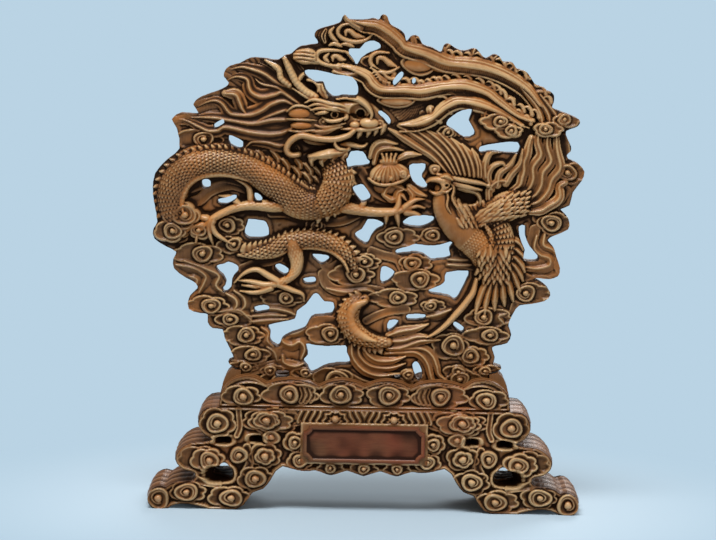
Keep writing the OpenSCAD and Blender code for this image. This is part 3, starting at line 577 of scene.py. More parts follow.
def mesh_piece(name, points, faces, marks, body, node, material):
    """An object from points, faces and its marks of wear and painted light, that stands for a node of the
    frame.
    """
    mesh = bpy.data.meshes.new(name)
    points = np.clip(points, *[np.array(corner) for corner in cad_box])
    mesh.from_pydata([tuple(p) for p in points], [], faces)
    layer = mesh.color_attributes.new("marks", "FLOAT_COLOR", "POINT")
    layer.data.foreach_set("color", np.ascontiguousarray(marks, np.float32).ravel())
    mesh.validate()
    for polygon in mesh.polygons:
        polygon.use_smooth = True
    mesh.set_sharp_from_angle(angle=SHARP_ANGLE)
    mesh.materials.append(material)
    piece = bpy.data.objects.new(name, mesh)
    bpy.context.scene.collection.objects.link(piece)
    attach(piece, body)
    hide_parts(node)


def block_piece(carving, node, front, back, marks, back_marks, body, slot, material, share=None, flare=0.0,
                slices=1, flutes=0, flute_depth=0.0):
    """A closed block between a carved front and a carved back, given as depths over the carving.

    Points on a seam take the mean depth of the cells in `share`, which are the block's own by default.
    The sides are cut in slices, which can swell outward and be fluted, with painted shade in the flutes'
    grooves."""
    mask = carving.inside & (carving.owner == carving.number(node))
    held = mask if share is None else share
    quads, rim = faces_and_rim(mask)
    used, edge = np.unique(quads), np.unique(rim)
    count = used.size
    px, pz = [places.ravel() for places in net(carving)]
    renumber, spot = np.full(px.size, -1), np.full(px.size, -1)
    renumber[used] = np.arange(count)
    spot[edge] = np.arange(edge.size)
    depths = [at_net(field, held).ravel()[used] for field in (front, back)]
    points = [np.stack([px[used], y, pz[used]], 1) for y in depths]
    shade = []
    for tints in (marks, back_marks):
        shade.append(np.stack([at_net(m, held).ravel()[used] for m in tints] + [np.ones(count)], 1))
    faces = renumber[quads].tolist() + (count + renumber[quads][:, ::-1]).tolist()
    first = renumber[edge]
    rings = [first]
    x, z = px[edge], pz[edge]
    fall_z, fall_x = np.gradient(blur(mask, 1.2, carving.cell))
    fall = np.stack([at_net(f, np.ones_like(mask)).ravel()[edge] for f in (fall_x, fall_z)])
    fall /= np.maximum(np.hypot(*fall), 1e-9)
    uneven = 0.75 + 0.25 * np.sin(0.5 * x + 0.8 * z)
    for k in range(1, slices):
        u = k / slices
        y = depths[0][first] * (1 - u) + depths[1][first] * u
        swell = 1 + flare * math.sqrt(1 - (2 * u - 1) ** 4)
        sunk = math.sin(math.pi * flutes * u) ** 2
        pull = flute_depth * sunk * uneven * np.clip(z / 3, 0, 1)
        points.append(np.stack([x * swell + fall[0] * pull, y, z + fall[1] * pull], 1))
        # Painted shade in the grooves of the flutes, rubbed wear with a painted highlight on their ridges
        dark, pale = (0.2 + 0.32 * sunk, 0.3 - 0.3 * sunk) if flutes else (0.3, 0.12)
        shade.append(np.tile([dark, pale, 0.2, 1.0], (edge.size, 1)))
        rings.append(2 * count + (k - 1) * edge.size + np.arange(edge.size))
    rings.append(count + first)
    a, b = spot[rim[:, 0]], spot[rim[:, 1]]
    for near, far in zip(rings[:-1], rings[1:]):
        faces += np.stack([near[b], near[a], far[a], far[b]], 1).tolist()
    mesh_piece(node, np.vstack(points) * MM, faces, np.vstack(shade), body, node, material)


# Finishes

class Knob:
    """A socket of a material's nodes that takes part in sums."""

    def __init__(self, tree, socket):
        self.tree, self.socket = tree, socket

    def sum(self, operation, first, second):
        return node(self.tree, "ShaderNodeMath", {"operation": operation}, {0: first, 1: second})

    def __add__(self, other):
        return self.sum("ADD", self, other)

    def __radd__(self, other):
        return self.sum("ADD", other, self)

    def __sub__(self, other):
        return self.sum("SUBTRACT", self, other)

    def __rsub__(self, other):
        return self.sum("SUBTRACT", other, self)

    def __mul__(self, other):
        return self.sum("MULTIPLY", self, other)


def node(tree, kind, settings, inputs, output=0):
    """Adds a node, sets it, feeds its sockets, and gives one of its outputs."""
    made = tree.nodes.new(kind)
    for key, value in settings.items():
        if key == "stops":
            ramp = made.color_ramp
            while len(ramp.elements) < len(value):
                ramp.elements.new(0.5)
            for element, (place, colour) in zip(ramp.elements, value):
                element.position, element.color = place, colour
        else:
            setattr(made, key, value)
    for key, value in inputs.items():
        if isinstance(value, Knob):
            tree.links.new(value.socket, made.inputs[key])
        else:
            made.inputs[key].default_value = value
    return Knob(tree, made.outputs[output])


def mix(tree, share, one, two):
    """Blends two colours."""
    return node(tree, "ShaderNodeMix", {"data_type": "RGBA"}, {0: share, 6: one, 7: two}, 2)


def tint(red, green, blue):
    """A colour as seen on screen, in 0 to 255, as light."""
    screen = [c / 255 for c in (red, green, blue)]
    return (*[((c + 0.055) / 1.055) ** 2.4 if c > 10 / 255 else c / 12.92 for c in screen], 1.0)


def carved_wood(name, deep, body, bright, rubbed_and_highlight, warm, gloss=0.35, grain_way=(9.0, 9.0, 1.1)):
    """Waxed wood with grain and pores: painted shade with patina in the hollows, rubbed wear with a painted
    highlight on what stands out.
    """
    material = bpy.data.materials.new(name)
    material.use_nodes = True
    tree = material.node_tree
    tree.nodes.clear()
    place = node(tree, "ShaderNodeTexCoord", {}, {}, "Object")
    marks = node(tree, "ShaderNodeVertexColor", {"layer_name": "marks"}, {})
    hollow, proud, warmth = [node(tree, "ShaderNodeSeparateColor", {}, {0: marks}, k) for k in range(3)]
    streak = node(tree, "ShaderNodeMapping", {},
                  {"Vector": place, "Scale": tuple(120 * g for g in grain_way)})
    grain = node(tree, "ShaderNodeTexNoise", {},
                 {"Vector": streak, "Scale": 1.0, "Detail": 4.0, "Roughness": 0.6})
    pores = node(tree, "ShaderNodeTexNoise", {}, {"Vector": streak, "Scale": 4.0, "Detail": 2.0})
    cloudy = node(tree, "ShaderNodeTexNoise", {}, {"Vector": place, "Scale": 28.0, "Detail": 3.0})
    blotch = node(tree, "ShaderNodeMapRange", {}, {0: cloudy, 1: 0.35, 2: 0.68, 3: 0.0, 4: 1.0})
    fine = node(tree, "ShaderNodeMapRange", {}, {0: grain, 1: 0.3, 2: 0.7, 3: 0.0, 4: 1.0})
    dull = mix(tree, fine * 0.55 + blotch * 0.25, body, bright)
    toned = mix(tree, warmth, dull, warm)
    edge = node(tree, "ShaderNodeMapRange", {"interpolation_type": "SMOOTHSTEP"},
                {0: proud + blotch * 0.12, 1: 0.2, 2: 0.85, 3: 0.0, 4: 1.0})
    # Rubbed wear with a painted highlight: what stands out is painted towards the pale colour
    worn_and_highlit = mix(tree, edge * (0.3 + blotch * 0.38), toned, rubbed_and_highlight)
    # Painted shade with patina: hollow places are painted towards the deep colour
    dirt_and_shade = node(tree, "ShaderNodeMapRange", {"interpolation_type": "SMOOTHSTEP"},
                {0: hollow + (blotch - 0.5) * 0.16, 1: 0.2, 2: 0.7, 3: 0.0, 4: 1.0})
    colour = mix(tree, dirt_and_shade * 0.94, worn_and_highlit, deep)
    rough = gloss + dirt_and_shade * 0.3 + fine * 0.08 - edge * 0.06
    bump = node(tree, "ShaderNodeBump", {},
                {"Strength": 0.35, "Distance": 0.00025, "Height": fine * 0.6 + pores * 0.4})
    surface = tree.nodes.new("ShaderNodeBsdfPrincipled")
    surface.inputs["Specular IOR Level"].default_value = 0.1
    surface.inputs["Coat Roughness"].default_value = 0.22
    wax = (1 - dirt_and_shade) * (0.2 + edge * 0.35)
    for key, value in {"Base Color": colour, "Roughness": rough, "Coat Weight": wax,
                       "Normal": bump}.items():
        tree.links.new(value.socket, surface.inputs[key])
    end = tree.nodes.new("ShaderNodeOutputMaterial")
    tree.links.new(surface.outputs[0], end.inputs[0])
    return material


# Each finish: deep colour (painted shade with patina), body, grain, rubbed colour (rubbed wear with painted
# highlight), warm tone
CARVED = carved_wood("carved_boxwood", tint(24, 9, 2), tint(100, 64, 35), tint(134, 92, 54),
                     tint(218, 180, 128), tint(176, 108, 50))
STAND = carved_wood("stand_boxwood", tint(28, 10, 2), tint(105, 69, 38), tint(134, 93, 54),
                    tint(222, 186, 136), tint(158, 88, 44))
GROUND = carved_wood("dark_ground", tint(28, 12, 4), tint(100, 64, 35), tint(134, 92, 54),
                     tint(222, 184, 132), tint(156, 94, 46), 0.45)
PLAQUE = carved_wood("plaque_wood", tint(34, 16, 8), tint(88, 52, 31), tint(116, 74, 44),
                     tint(184, 136, 88), tint(126, 54, 32), 0.4, (1.1, 9.0, 9.0))
BAMBOO = carved_wood("bamboo_peg", tint(90, 62, 34), tint(178, 142, 92), tint(196, 162, 110),
                     tint(214, 184, 136), tint(190, 150, 96), 0.5, (9.0, 1.1, 9.0))

# The panel: outline and owners from the frame's own nodes

NOT_RELIEF = ("ground_board", "relief_pegs")
RELIEF = [n for n in frame["record"]["behaviour"]["bodies"]["screen"] if n not in NOT_RELIEF]
CLOUDS = [n for n in RELIEF if n.endswith("clouds")]
# Half of the width and the top of what is carved, the foot of the panel, and the level between its forms
HALF_WIDTH, TOP, PANEL_FOOT, PANEL_FLOOR = 109, 247, 51.0, 1.0
# Rounded corners low on both sides: the middle of each and its radius
CORNER_X, CORNER_Z, CORNER_R = 65.0, 72.4, 3.6


def trim_corners(board):
    """Rounds the two lowest corners, where they come down beside the rails."""
    past_x = np.clip(np.abs(board.x) - CORNER_X, 0, None)[None, :]
    past_z = np.clip(CORNER_Z - board.z, 0, None)[:, None]
    board.cover[(np.hypot(past_x, past_z) > CORNER_R) & (past_x > 0) & (past_z > 0)] = 0


panel = Carving((-HALF_WIDTH, 50), (HALF_WIDTH, TOP), CELL, PANEL_FLOOR)
panel.bead_tone = 0.25
panel.cover = panel.stamp("ground_board")
for name in RELIEF:
    panel.claim(name)
panel.cover[panel.z < PANEL_FOOT] = 0
trim_corners(panel)
panel.widen(14)
panel_inside = panel.inside


def within(name):
    """Cells that a node of the panel owns."""
    return panel.owner == panel.number(name)


def comb(name, x, z, count, base, depth, sway):
    """Fills a block with hair that runs out from a point."""
    gx, gz = panel.x[None, :] - x, panel.z[:, None] - z
    far = np.hypot(gx, gz)
    angle = np.arctan2(gz, gx) + sway * np.sin(far / 7)
    surface = base + depth * bands(angle * count / TAU)
    here = within(name)
    panel.height[here] = np.maximum(panel.height, surface)[here]


def vane(name, points, reach, base, pitch, depth):
    """Fills a block with barbs that lean off a quill."""
    rows, cols, run, off, _ = panel.follow(curve(points), reach)
    surface = base - depth * (1 - bands((run - 1.1 * np.abs(off)) / pitch)) - 0.05 * np.abs(off)
    here = within(name)[rows, cols] & (np.abs(off) < reach - 0.5)
    field = panel.height[rows, cols]
    field[here] = np.maximum(field, surface)[here]


# Clouds of the panel: across, up, half-width, half-height, hand
CLOUD_HEADS = [
    (14.5, 104.7, 12, 4.8, 1), (32.5, 101, 6, 3.4, -1), (-83, 182, 11.5, 5.6, 1),
    (-10, 234.5, 7.5, 4, -1), (-19.5, 223.5, 8, 4, 1), (4, 222, 7.5, 4.5, 1), (68.8, 189.2, 6, 3.4, 1),
    (87, 190.3, 6.5, 3.7, -1), (64.2, 193, 6, 4, 1), (96, 195.3, 7.5, 3.8, -1), (99.2, 168.5, 8, 5.4, -1),
    (91.8, 143.3, 8.5, 5.8, -1), (-91, 139.3, 10, 6, 1), (-96.5, 135.2, 9.5, 5.2, 1),
    (-69.4, 139.5, 7, 5, -1), (-67, 130, 7, 4.5, 1), (38.5, 187.5, 5, 3.5, 1), (-25.7, 140.3, 5, 3.6, 1),
    (-83, 125, 12.5, 5.8, 1), (-78.2, 99, 10.6, 5.4, 1), (-41, 103.6, 10.5, 4.2, 1),
    (14, 135, 10, 5.2, -1), (-2, 122.5, 9.5, 4.6, 1), (-6.5, 116, 11, 5.6, 1), (23, 122, 8, 5, -1),
    (25.5, 114, 11.5, 5.6, 1), (33, 136.3, 8, 4.2, -1), (50, 129, 5.5, 4, -1), (80, 108, 10.5, 5.6, -1),
    (-60.5, 84.6, 10.6, 5.2, 1), (-57, 74.9, 10.6, 4.6, 1), (-67, 92.4, 9, 4.4, -1),
    (-18.5, 86, 10, 5.2, 1), (43, 81, 9, 7, 1), (53, 76, 7.4, 5.2, -1), (59.5, 95.7, 11.5, 5.4, -1),
    (61, 86.7, 11, 4.6, 1), (-15, 63, 10.5, 6.4, 1), (-44, 61, 9, 5, 1), (48, 64, 9, 5.4, -1),
    (-60.4, 68.6, 7.4, 3.4, 1), (30, 57, 8, 4.6, 1), (4, 57.5, 9, 4.2, -1), (60.4, 68.6, 7.4, 3.4, -1),
    (-47, 67, 6, 3.6, -1), (46, 68, 6.4, 3.8, 1), (-30, 66, 6, 3.4, 1), (22, 66, 6, 3.4, -1)]
# Below this the panel stands behind the rail, and its carving is lower there. Then, how far the pegs reach
LOWEST_FREE, FOOT_MOST, PEG_END = 66.6, 6.1, 3.9


def head_of_cloud(x, z, rx, rz, base, top, hand):
    """A lens of cloud with a gently lobed rim, and a curl with a bead in it."""
    lobes = 4 + int(x * 7 + z * 3) % 3
    panel.cloud(x - 0.12 * hand * rx, z, 1.1 * rx, 1.06 * rz, base, 1.1 * top, lobes, 0.7 * hand + 0.3 * z,
                hand, False, keen=1.9)
    panel.cloud(x + 0.08 * hand * rx, z + 0.06 * rz, 0.86 * rz, 0.72 * rz, base + 0.9, 1.2 * top, 0,
                0.05 * x, hand, turns=1.0, bead=0.34)


for x, z, rx, rz, hand in CLOUD_HEADS:
    top = 2.9 if z > LOWEST_FREE + rz else 2.3
    head_of_cloud(x, z, rx, rz, 2.4, top, hand)

# Bands of drifting cloud: points and half-width
DRIFTS = [
    ([(83, 140), (82, 133), (85, 128), (89, 126), (89, 123), (82, 122), (77, 122.5)], 2.2),
    ([(81, 114), (88, 116), (94, 114), (96.4, 117.6), (94.4, 122), (95.6, 128)], 1.1),
    ([(-31, 90), (-26, 92), (-18, 92.5), (-11, 90), (-8, 84), (-10, 80)], 2.0),
    ([(-103, 166), (-105, 158), (-104.5, 150), (-103, 142)], 1.6),
    ([(-95, 177), (-88, 176), (-76, 178), (-68, 178), (-58, 176)], 2.0),
    ([(-60, 176), (-48, 174), (-38, 172), (-30, 174), (-22, 178)], 2.2),
    ([(-34, 168), (-30, 162), (-24, 160)], 2.2),
    ([(-92, 150), (-84, 152), (-78, 157), (-68, 160), (-60, 158)], 2.2),
    ([(-90, 157), (-82, 160), (-72, 163), (-62, 161)], 1.8),
    ([(-62, 118), (-55, 121), (-49, 122), (-44, 124)], 1.9),
    ([(-22, 116), (-20, 111), (-14, 108), (-4, 109), (5, 108), (14, 106)], 2.0),
    ([(2, 128), (8, 126), (15, 124), (18, 119)], 1.8),
    ([(0, 93), (6, 96), (12, 98), (20, 99)], 1.6),
    ([(-24, 127), (-20, 119), (-14, 122)], 1.6),
    ([(44, 124), (48, 122), (53, 121)], 1.5),
    ([(76, 118), (82, 115), (88, 114)], 1.6),
    ([(66, 100), (72, 97), (74, 102)], 1.6),
    ([(40, 88), (46, 87), (50, 92), (56, 91)], 1.6),
    ([(84, 146), (88, 151), (94, 154), (98, 160)], 2.0),
    ([(92, 164), (92, 172), (97, 178), (96, 186)], 2.0),
    ([(-4, 168), (0, 162), (4, 157), (12, 154), (20, 156)], 1.8),
    ([(22, 158), (26, 154), (30, 152)], 1.5),
    ([(-44, 190), (-40, 184), (-36, 178)], 1.5),
    ([(-28, 142), (-20, 142), (-12, 143), (-4, 147)], 1.8),
    ([(-48, 146), (-40, 146), (-32, 144)], 1.7),
    ([(-58, 66), (-46, 70), (-36, 70), (-30, 66)], 1.9),
    ([(-10, 66), (0, 61), (12, 60), (22, 62)], 1.7)]
for points, half in DRIFTS:
    panel.stroke(points, 1.25 * half, 3.4, 0.7, channels(1, 1.1))

# Creases that wave through the clouds of the lower left and right: keen ridges with hollows beside them
CREASES = [
    [(-95, 119.6), (-86, 117.9), (-80.4, 114.4), (-81.1, 110.6), (-83.5, 105.8)],
    [(-91, 121.6), (-79, 117.4), (-73.6, 114.4), (-75, 109.5), (-71.3, 106)],
    [(-88.5, 114), (-84.6, 112.4), (-85.4, 108.6)],
    [(-70, 105.6), (-65.4, 103), (-64.6, 99.6), (-67.5, 96.2)],
    [(-66, 107), (-61.4, 104), (-60.4, 100), (-62.6, 97)],
    [(-74, 96.3), (-64, 97.4), (-59.4, 94.4), (-56, 91.2)],
    [(-57, 97), (-48, 98.4), (-40, 97.4), (-35.6, 95.6)], [(-58, 91.6), (-48, 92.6), (-39, 93.2)],
    [(-57, 94.4), (-48, 95.2), (-40, 95)],
    [(-42.6, 87), (-41.6, 82.2), (-37, 80.2), (-33, 82), (-30.4, 78.6), (-32, 73.4)],
    [(-41.4, 74.6), (-40.4, 71.2), (-35, 69.6), (-30.4, 71.4)], [(-40, 86.6), (-35, 86.2), (-29.6, 89.4)],
    [(-52, 88.8), (-48.6, 86.4), (-49, 82.4), (-46, 79)], [(-49, 79), (-45.6, 76.6), (-44, 72)],
    [(84, 137), (83, 131), (86, 127.6), (90.6, 126), (90.4, 122.4), (84, 120.8), (78, 121.6)],
    [(88, 138), (87.6, 132.6), (92, 130.4), (94.6, 127)], [(70, 98), (66, 96.4), (68.6, 93)],
    [(40, 124.6), (47, 124.4), (54, 125)], [(40, 122), (47, 121.8), (54, 122.4)],
    [(30, 95.6), (36, 97), (42, 99.4)], [(-20, 109), (-10, 107.4), (0, 108.6), (6, 106)]]
panel.strokes(CREASES, [1.6, 2.9, 3.1, 2.9, 1.4], [2.5, 2.8, 2.9, 2.8, 2.5], 0.0, keel(2.0))

# A thin crest runs round every opening and along the outer edge
clouds_only = np.isin(panel.owner, [panel.number(n) for n in CLOUDS]) & panel_inside
panel_rim = panel.free_reach(panel_inside, 4.2)
panel.raise_brim(clouds_only, panel_rim, 2.3, 1.0, 1.1, 2.2, 1.4)

# The dragon: locks of the mane, each drawn on to the root of the mane behind the head
mane = "dragon_mane"
comb(mane, -20, 194, 110, 2.9, 0.9, 0.06)
LOCKS = [
    [(-32.9, 205.3), (-40.2, 208.8), (-45.8, 211), (-52.2, 215.2), (-57.8, 217.2), (-63.8, 218.4),
     (-70, 217)],
    [(-43.5, 206.3), (-47, 205.2), (-53.2, 203.8), (-58, 205.6), (-59.9, 208.4), (-60.6, 211.8),
     (-62.8, 213.2), (-67, 213.5), (-71, 211.5)],
    [(-42.6, 202.2), (-48.8, 200.4), (-53.2, 197.3), (-59.2, 194.9), (-66.2, 194.8), (-69.5, 195.8),
     (-73, 200), (-76.5, 201.6), (-80.6, 200.8), (-85, 198.6)],
    [(-71.8, 205.3), (-66.4, 204.7), (-64.3, 200.8), (-62.3, 196.6), (-56, 191.5)],
    [(-43.6, 186.2), (-50.6, 185.5), (-59.3, 186.4), (-71.1, 188.6), (-75.3, 186.8), (-79.9, 186.6),
     (-84.4, 188.5), (-91, 191.5), (-96, 192)],
    [(-43, 180), (-50.6, 181.4), (-57.6, 181.5), (-60, 180), (-63, 176.5)],
    [(-38, 193), (-48, 192.6), (-58, 190.6), (-68, 191.8), (-78, 193.2), (-90, 193)],
    [(-36, 210), (-44, 214.5), (-50, 218.6), (-56, 221)],
    [(-40, 198), (-50, 194.4), (-60, 189.5), (-68, 184.4)], [(-46, 208.6), (-54, 210.4), (-58, 214)]]
ROOT = np.array([-26.0, 195.0])
for points in LOCKS:
    start = np.array(points[0])
    root = [start + 0.6 * (ROOT - start), start + 0.3 * (ROOT - start)] if start[0] > -60 else []
    wide = 1.25 if len(points) > 5 else 1.0
    halves = [half * wide for half in (1.6, 2.8, 3.4, 3.4, 2.8, 1.9)] + [0.4]
    panel.stroke(root + points, halves, [5.2, 4.8, 4.4, 4.0, 3.4], [2.8, 2.8, 2.6, 2.2, 1.4],
                 channels(2, 1.2), mane, 0.15, crevice_shade=0.35)

# Body of the dragon: the upper coil, the chest, the lower coil and the tail
UPPER_COIL = [(-17, 151.5), (-28, 150.5), (-36, 152.5), (-45, 159.5), (-55, 166), (-65, 170),
              (-76, 171.2), (-87, 169), (-94.6, 162.5), (-97.6, 153.5), (-96.5, 145), (-92, 137)]
CHEST = [(-19.6, 174), (-16.4, 169.4), (-14.8, 163), (-17, 156.5), (-23, 151.5), (-30, 149.5)]
LOWER_COIL = [(-64, 125), (-56, 126), (-47, 128), (-38.5, 132), (-27, 133.5), (-16, 131), (-9, 125),
              (-6, 119)]
TAIL = [(-1, 104), (-6.5, 101), (-9, 95), (-6.5, 88.5), (-1, 84.5), (5, 82.6), (11, 82.6)]


def spines(points, half, pitch, reach, side, name, base):
    """Fins in a row along one side of a coil, each leaning back."""
    path = curve(points, 12)
    step = np.hypot(*np.diff(path, axis=0).T)
    run = np.concatenate([[0], np.cumsum(step)])
    for at in np.arange(pitch, run[-1] - pitch, pitch):
        here = np.array([np.interp(at, run, path[:, k]) for k in (0, 1)])
        ahead = np.array([np.interp(at + 0.5, run, path[:, k]) for k in (0, 1)]) - here
        ahead /= math.hypot(*ahead)
        out = side * np.array([-ahead[1], ahead[0]])
        wide = float(spread(half, at / run[-1]))
        root, tip = here + out * (wide - 2.0), here + out * (wide + reach) + ahead * reach * 0.9
        panel.stroke([root, (root + tip) / 2 + out * 0.5, tip], [1.9, 1.5, 0.4], base, 1.4, None, name, 0.1)


def beside(points, far):
    """The same run, moved to its left."""
    path = curve(points, 2)
    way = np.gradient(path, axis=0)
    way /= np.hypot(*way.T)[:, None]
    return path + far * np.stack([-way[:, 1], way[:, 0]], 1)


COIL_HALF = [6.0, 7.6, 8.2, 7.6, 7.0, 6.9, 6.9, 7.2, 7.8, 8.0, 7.0, 4.0]
spines(UPPER_COIL, COIL_HALF, 2.7, 1.6, -1, "dragon_body", 5.4)
panel.stroke(UPPER_COIL, COIL_HALF, 4.2, [6.0, 7.0, 7.4, 7.4, 7.2, 7.0, 7.0, 7.0, 6.8, 6.4, 5.0, 2.0],
             scales(1.8, 1.85, 1.05), "dragon_body", 0.12, crevice_shade=0.5)
panel.stroke(beside(UPPER_COIL[4:11], 5.0), [0.4, 1.7, 2.2, 2.4, 2.2, 0.5], 8.0, 1.4, belly(2.3, 0.35),
             "dragon_body", 0.75)
panel.stroke(beside(UPPER_COIL, -7.4), 2.0, 4.4, 0.9, None, "dragon_body", 0.1)
spines(CHEST, 7.0, 3.0, 1.6, 1, "dragon_body", 6.6)
panel.stroke(CHEST, [6.4, 7.8, 8.2, 8.0, 6.6, 3.0], [3.4, 4.8, 5.8, 6.0, 5.6, 4.6],
             [3.0, 5.4, 6.6, 6.8, 6.6, 5.4], scales(2.1, 2.2, 1.2), "dragon_body", 0.3, crevice_shade=0.5)
spines(LOWER_COIL, 4.3, 2.8, 1.3, 1, "dragon_lower_coil", 4.6)
panel.stroke(LOWER_COIL, [0.8, 3.4, 4.7, 5.0, 5.0, 4.6, 3.8, 2.0], 3.8,
             [1.0, 3.6, 4.8, 5.2, 5.2, 5.0, 4.2, 2.0], scales(1.9, 2.0, 1.15), "dragon_lower_coil", 0.15,
             crevice_shade=0.6)
panel.stroke(beside(LOWER_COIL[2:], -3.5), [0.4, 1.3, 1.4, 1.2, 0.4], 6.6, 1.0, belly(2.0, 0.4),
             "dragon_lower_coil", 0.8)
spines(TAIL, 4.8, 2.2, 0.9, -1, "dragon_tail", 4.4)
panel.stroke(TAIL, [2.6, 4.8, 5.6, 5.4, 4.6, 3.6, 2.6], 3.6, [3.0, 4.6, 5.2, 5.0, 4.6, 4.0, 3.0],
             scales(1.8, 1.9, 1.0), "dragon_tail", 0.3, crevice_shade=0.5)
panel.stroke(beside(TAIL[:6], 0.8), [1.2, 2.3, 2.6, 2.5, 2.0, 0.6], 7.2, 2.0, belly(2.4, 0.15),
             "dragon_tail", 0.9)
# Small tufts between the mane and the coil
TUFTS = [(-54, 175.5), (-49, 172.5), (-45, 169.5), (-47, 175.5), (-41, 166.5), (-42, 171.8), (-37, 163),
         (-36.4, 168), (-36, 172.8), (-31, 160.6), (-31, 165), (-30.6, 169.6), (-26, 158.8), (-26, 163.2),
         (-25.6, 167.8), (-22, 171.6)]
for x, z in TUFTS:
    for lean, wide in ((0.0, 1.5), (1.4, 1.2)):
        panel.stroke([(x + 2.0, z - 2.2 - lean), (x + lean, z + 0.3 - lean), (x - 2.2 + lean, z + 2.0)],
                     [wide, wide, 0.3], 3.8, 1.8, channels(2, 0.7), None, 0.0)
# Clouds over the coil: across, up, half-width, half-height, foot of the form, hand
OVER_COIL = [(-91.5, 144.4, 8.6, 6.8, 6.4, 1), (-97.4, 136.4, 7.6, 5.4, 5.4, 1),
             (-83.5, 137.0, 5.4, 4.4, 4.6, -1)]
for x, z, rx, rz, base, hand in OVER_COIL:
    head_of_cloud(x, z, rx, rz, base, 2.8, hand)

# Legs and talons
# Each leg: its node, points, half-widths, foot and rise of the form, tone
LEGS = [
    ("dragon_left_foreleg",
     [(-36, 152), (-46, 150), (-56.5, 150.3), (-64.5, 149), (-71, 146.4), (-77.5, 142.7), (-81.5, 139),
      (-84.4, 135.5), (-85.2, 131)],
     [3.6, 3.4, 3.0, 2.4, 2.0, 1.8, 1.4, 0.4], 5.0, [4.4, 4.4, 4.0, 3.6, 3.2, 2.8, 2.2, 1.0], 0.55),
    ("dragon_right_foreleg",
     [(-18, 152), (-10, 149.6), (-2, 148.2), (5, 147.6), (12, 148), (18, 149.3), (24, 151), (28, 150)],
     [3.6, 3.2, 2.7, 2.4, 2.2, 1.8, 1.2, 0.4], 5.0, [4.4, 4.2, 4.0, 3.8, 3.4, 2.8, 2.0, 1.0], 0.5),
    ("dragon_hind_leg",
     [(-37, 131), (-35.4, 125), (-35, 120.5), (-36.2, 116.8), (-40.5, 113), (-46, 110.8), (-53, 109.6),
      (-62, 110)],
     [4.6, 3.8, 3.0, 2.3, 1.9, 1.6, 1.2, 0.4], 4.8, [5.0, 4.4, 3.8, 3.2, 2.8, 2.4, 1.8, 1.0], 0.6)]
for name, points, half, base, rise, tone in LEGS:
    panel.stroke(points, half, base, rise, scales(1.7, 1.7, 0.45), name, tone, crevice_shade=0.25)
TALONS = {
    "dragon_left_foreleg": [
        [(-78, 142), (-79.1, 139.5), (-78.3, 134.6), (-76.8, 130)],
        [(-77, 142), (-77.6, 139.9), (-75.5, 135.7), (-70.2, 132), (-67.5, 130.6)],
        [(-82, 140), (-88, 138.4), (-92, 134)], [(-80, 143), (-86, 144), (-90, 142)],
        [(-58, 152), (-58.6, 155.6), (-59.4, 158.8), (-61.9, 161.2), (-68, 163.5)],
        [(-64, 150), (-68, 153.6), (-74, 154.4)]],
    "dragon_right_foreleg": [
        [(8, 148), (9, 146), (9, 142)], [(14, 149), (14.5, 146), (15.4, 140.5)],
        [(14.4, 149), (15, 152), (15.5, 158.4)], [(19, 148), (24, 147), (28, 144.6)],
        [(18, 150), (23, 154), (28, 154.6)], [(-4, 149), (-2, 153), (-4, 157.5)]],
    "dragon_hind_leg": [
        [(-44, 112), (-49, 115), (-55, 118), (-61, 116), (-66, 111)],
        [(-46, 111), (-51, 110.6), (-58, 112), (-65, 112.5)],
        [(-44, 111), (-37, 108), (-32, 106), (-31, 102.4)],
        [(-48, 109), (-55, 106.6), (-63, 107)]]}
for name, claws in TALONS.items():
    panel.strokes(claws, [1.9, 1.5, 1.0, 0.2], 5.0, [2.8, 2.4, 1.8, 0.6], None, name, 0.45)

# Tuft of the tail
TUFT = [
    [(-7, 83), (-6.4, 75), (-1, 68.4), (7, 65.6), (17, 67)],
    [(-4, 81), (-2.6, 75), (3, 70.4), (12, 69.6), (20, 72)],
    [(-1, 80.5), (1, 76.4), (6, 73.4), (13, 73.4), (20, 75.6)],
    [(11, 86), (17, 88.2), (24, 89.5), (31, 92)], [(11, 83), (19, 83.6), (25, 85.5), (33, 85.8)],
    [(11, 79.6), (17, 79.8), (23, 82), (28, 83.6), (37, 84.2)],
    [(10, 77), (17, 77.4), (24, 77.8), (28, 76), (31, 72), (32.5, 67), (34, 63.5), (40, 61.8)],
    [(12, 78.4), (22, 79.6), (29, 79.4), (33.4, 76), (35.6, 71), (37, 66.4), (42, 63)]]
for points in TUFT:
    low = min(z for x, z in points)
    panel.stroke(points, [1.4, 2.4, 2.4, 1.8, 0.4], 3.8 if low > 70 else 3.2, 2.0, channels(2, 0.9),
                 "dragon_tail_tuft", 0.3)

# Head of the dragon
head = "dragon_head"
panel.plate([(-24, 205), (-16, 205), (-7, 204.6), (1, 201.4), (6.4, 196), (7, 191.6), (0, 190.4),
             (-8, 188.8), (-16, 186), (-20, 180.6), (-30, 181), (-35.5, 186), (-36, 194), (-31, 201.5)],
            4.6, 3.4, 4.5, head)
panel.sink([(-15, 187), (-6, 188.4), (5, 188.8), (5.4, 186), (1.6, 181.8), (-5, 179), (-12, 179.2),
            (-17, 182.2)],
           2.4)
panel.stroke([(-29.4, 174.8), (-24, 175.6), (-18, 176.8), (-13.4, 177.4), (-10.2, 179)],
             [0.8, 2.0, 2.5, 2.1, 0.9], [7.4, 8.2, 8.4, 7.8, 6.8], [2.0, 3.0, 3.2, 2.8, 1.8],
             channels(2, 0.6), head, 0.4)
panel.stroke([(-17.2, 183), (-16.6, 180.6), (-14.8, 179), (-11.8, 178.8)], [0.5, 0.9, 0.9, 0.4], 9.0, 1.8,
             None, head, 0.3)
panel.stroke([(-14.4, 180.8), (-9.6, 181), (-5, 180.2), (-2.6, 180.4), (-1.2, 181.6)],
             [1.3, 1.5, 1.2, 0.9, 0.4], 5.4, 2.2, None, head, 0.7)
